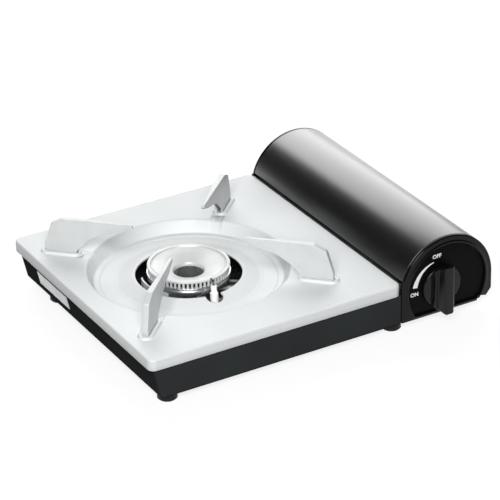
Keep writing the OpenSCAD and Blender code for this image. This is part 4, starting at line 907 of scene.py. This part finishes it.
# The floor's right edge, turned up to the lid's hinge side
LIP_LINE = rounded([(160.0, FLOOR_UNDER, 0), (169.0, FLOOR_UNDER, 1.5), (169.0, 13.4, 0.5),
                    (167.8, 13.4, 0.5), (167.8, FLOOR_TOP, 0.8), (160.0, FLOOR_TOP, 0)], 5, closed=True)
tray_lip = bar_y(LIP_LINE, FRONT + COLLAR_TO, BACK - COLLAR_TO)
mesh("tray_pressing", [tray_walls(), tray_floor(), tray_lip], TRAY, "stove", ["body_tray"])


# ---------- floor, light, view ----------
# The floor's own white as the camera and mirrors see it, over the grey that takes the shadows
FLOOR_LIFT = 0.81
# The world: fill light on surfaces, and what mirrors see of it; the camera sees it white
WORLD_FILL, WORLD_MIRROR = 0.12, 0.04

ground_mat = bpy.data.materials.new("pale_floor")
ground_mat.use_nodes = True
ground_tree = ground_mat.node_tree
ground_shader = ground_tree.nodes["Principled BSDF"]
ground_shader.inputs["Base Color"].default_value = linear("#7c7c7c")
ground_shader.inputs["Roughness"].default_value = 0.9
path_kind = add(ground_tree, "ShaderNodeLightPath")
seen = add(ground_tree, "ShaderNodeMath", {"operation": "MAXIMUM"},
           i0=path_kind.outputs["Is Camera Ray"], i1=path_kind.outputs["Is Glossy Ray"])
lift = add(ground_tree, "ShaderNodeMath", {"operation": "MULTIPLY"}, i0=seen.outputs[0], i1=FLOOR_LIFT)
glow = add(ground_tree, "ShaderNodeEmission", Color=linear("#ffffff"), Strength=lift.outputs[0])
both = add(ground_tree, "ShaderNodeAddShader", i0=ground_shader.outputs[0], i1=glow.outputs[0])
ground_tree.links.new(both.outputs[0], ground_tree.nodes["Material Output"].inputs["Surface"])
ground = bpy.data.meshes.new("floor")
HALF = 8.0
ground.from_pydata([(-HALF, -HALF, 0), (HALF, -HALF, 0), (HALF, HALF, 0), (-HALF, HALF, 0)], [],
                   [(0, 1, 2, 3)])
ground.materials.append(ground_mat)
floor = new_object("floor", ground)

world = bpy.data.worlds.new("studio")
bpy.context.scene.world = world
world.use_nodes = True
sky = world.node_tree
plain = sky.nodes["Background"]
plain.inputs["Color"].default_value = linear("#ffffff")
bright = add(sky, "ShaderNodeBackground", Color=linear("#ffffff"), Strength=1.0)
ray = add(sky, "ShaderNodeLightPath")
dim = add(sky, "ShaderNodeMapRange", i0=ray.outputs["Is Glossy Ray"], i3=WORLD_FILL, i4=WORLD_MIRROR)
sky.links.new(dim.outputs[0], plain.inputs["Strength"])
pick = add(sky, "ShaderNodeMixShader", i0=ray.outputs["Is Camera Ray"], i1=plain.outputs[0],
           i2=bright.outputs[0])
sky.links.new(pick.outputs[0], sky.nodes["World Output"].inputs["Surface"])


def softbox(name, place, aim, wide, high, watts):
    """Rectangular area lamp at place, pointing at aim, in metres and watts."""
    lamp = bpy.data.lights.new(name, "AREA")
    lamp.shape, lamp.size, lamp.size_y, lamp.energy = "RECTANGLE", wide, high, watts
    obj = new_object(name, lamp)
    obj.location = place
    obj.rotation_euler = (Vector(aim) - Vector(place)).to_track_quat("-Z", "Y").to_euler()


# The back lamp is the bright band that the lid mirrors; the key lights the front
softbox("back", (0.95, 1.75, 1.15), (0.05, 0, 0.05), 2.2, 2.3, 45)
softbox("key", (-0.98, -1.52, 1.38), (0, 0, 0.05), 1.1, 1.1, 55)

bpy.context.scene.view_settings.view_transform = "Standard"
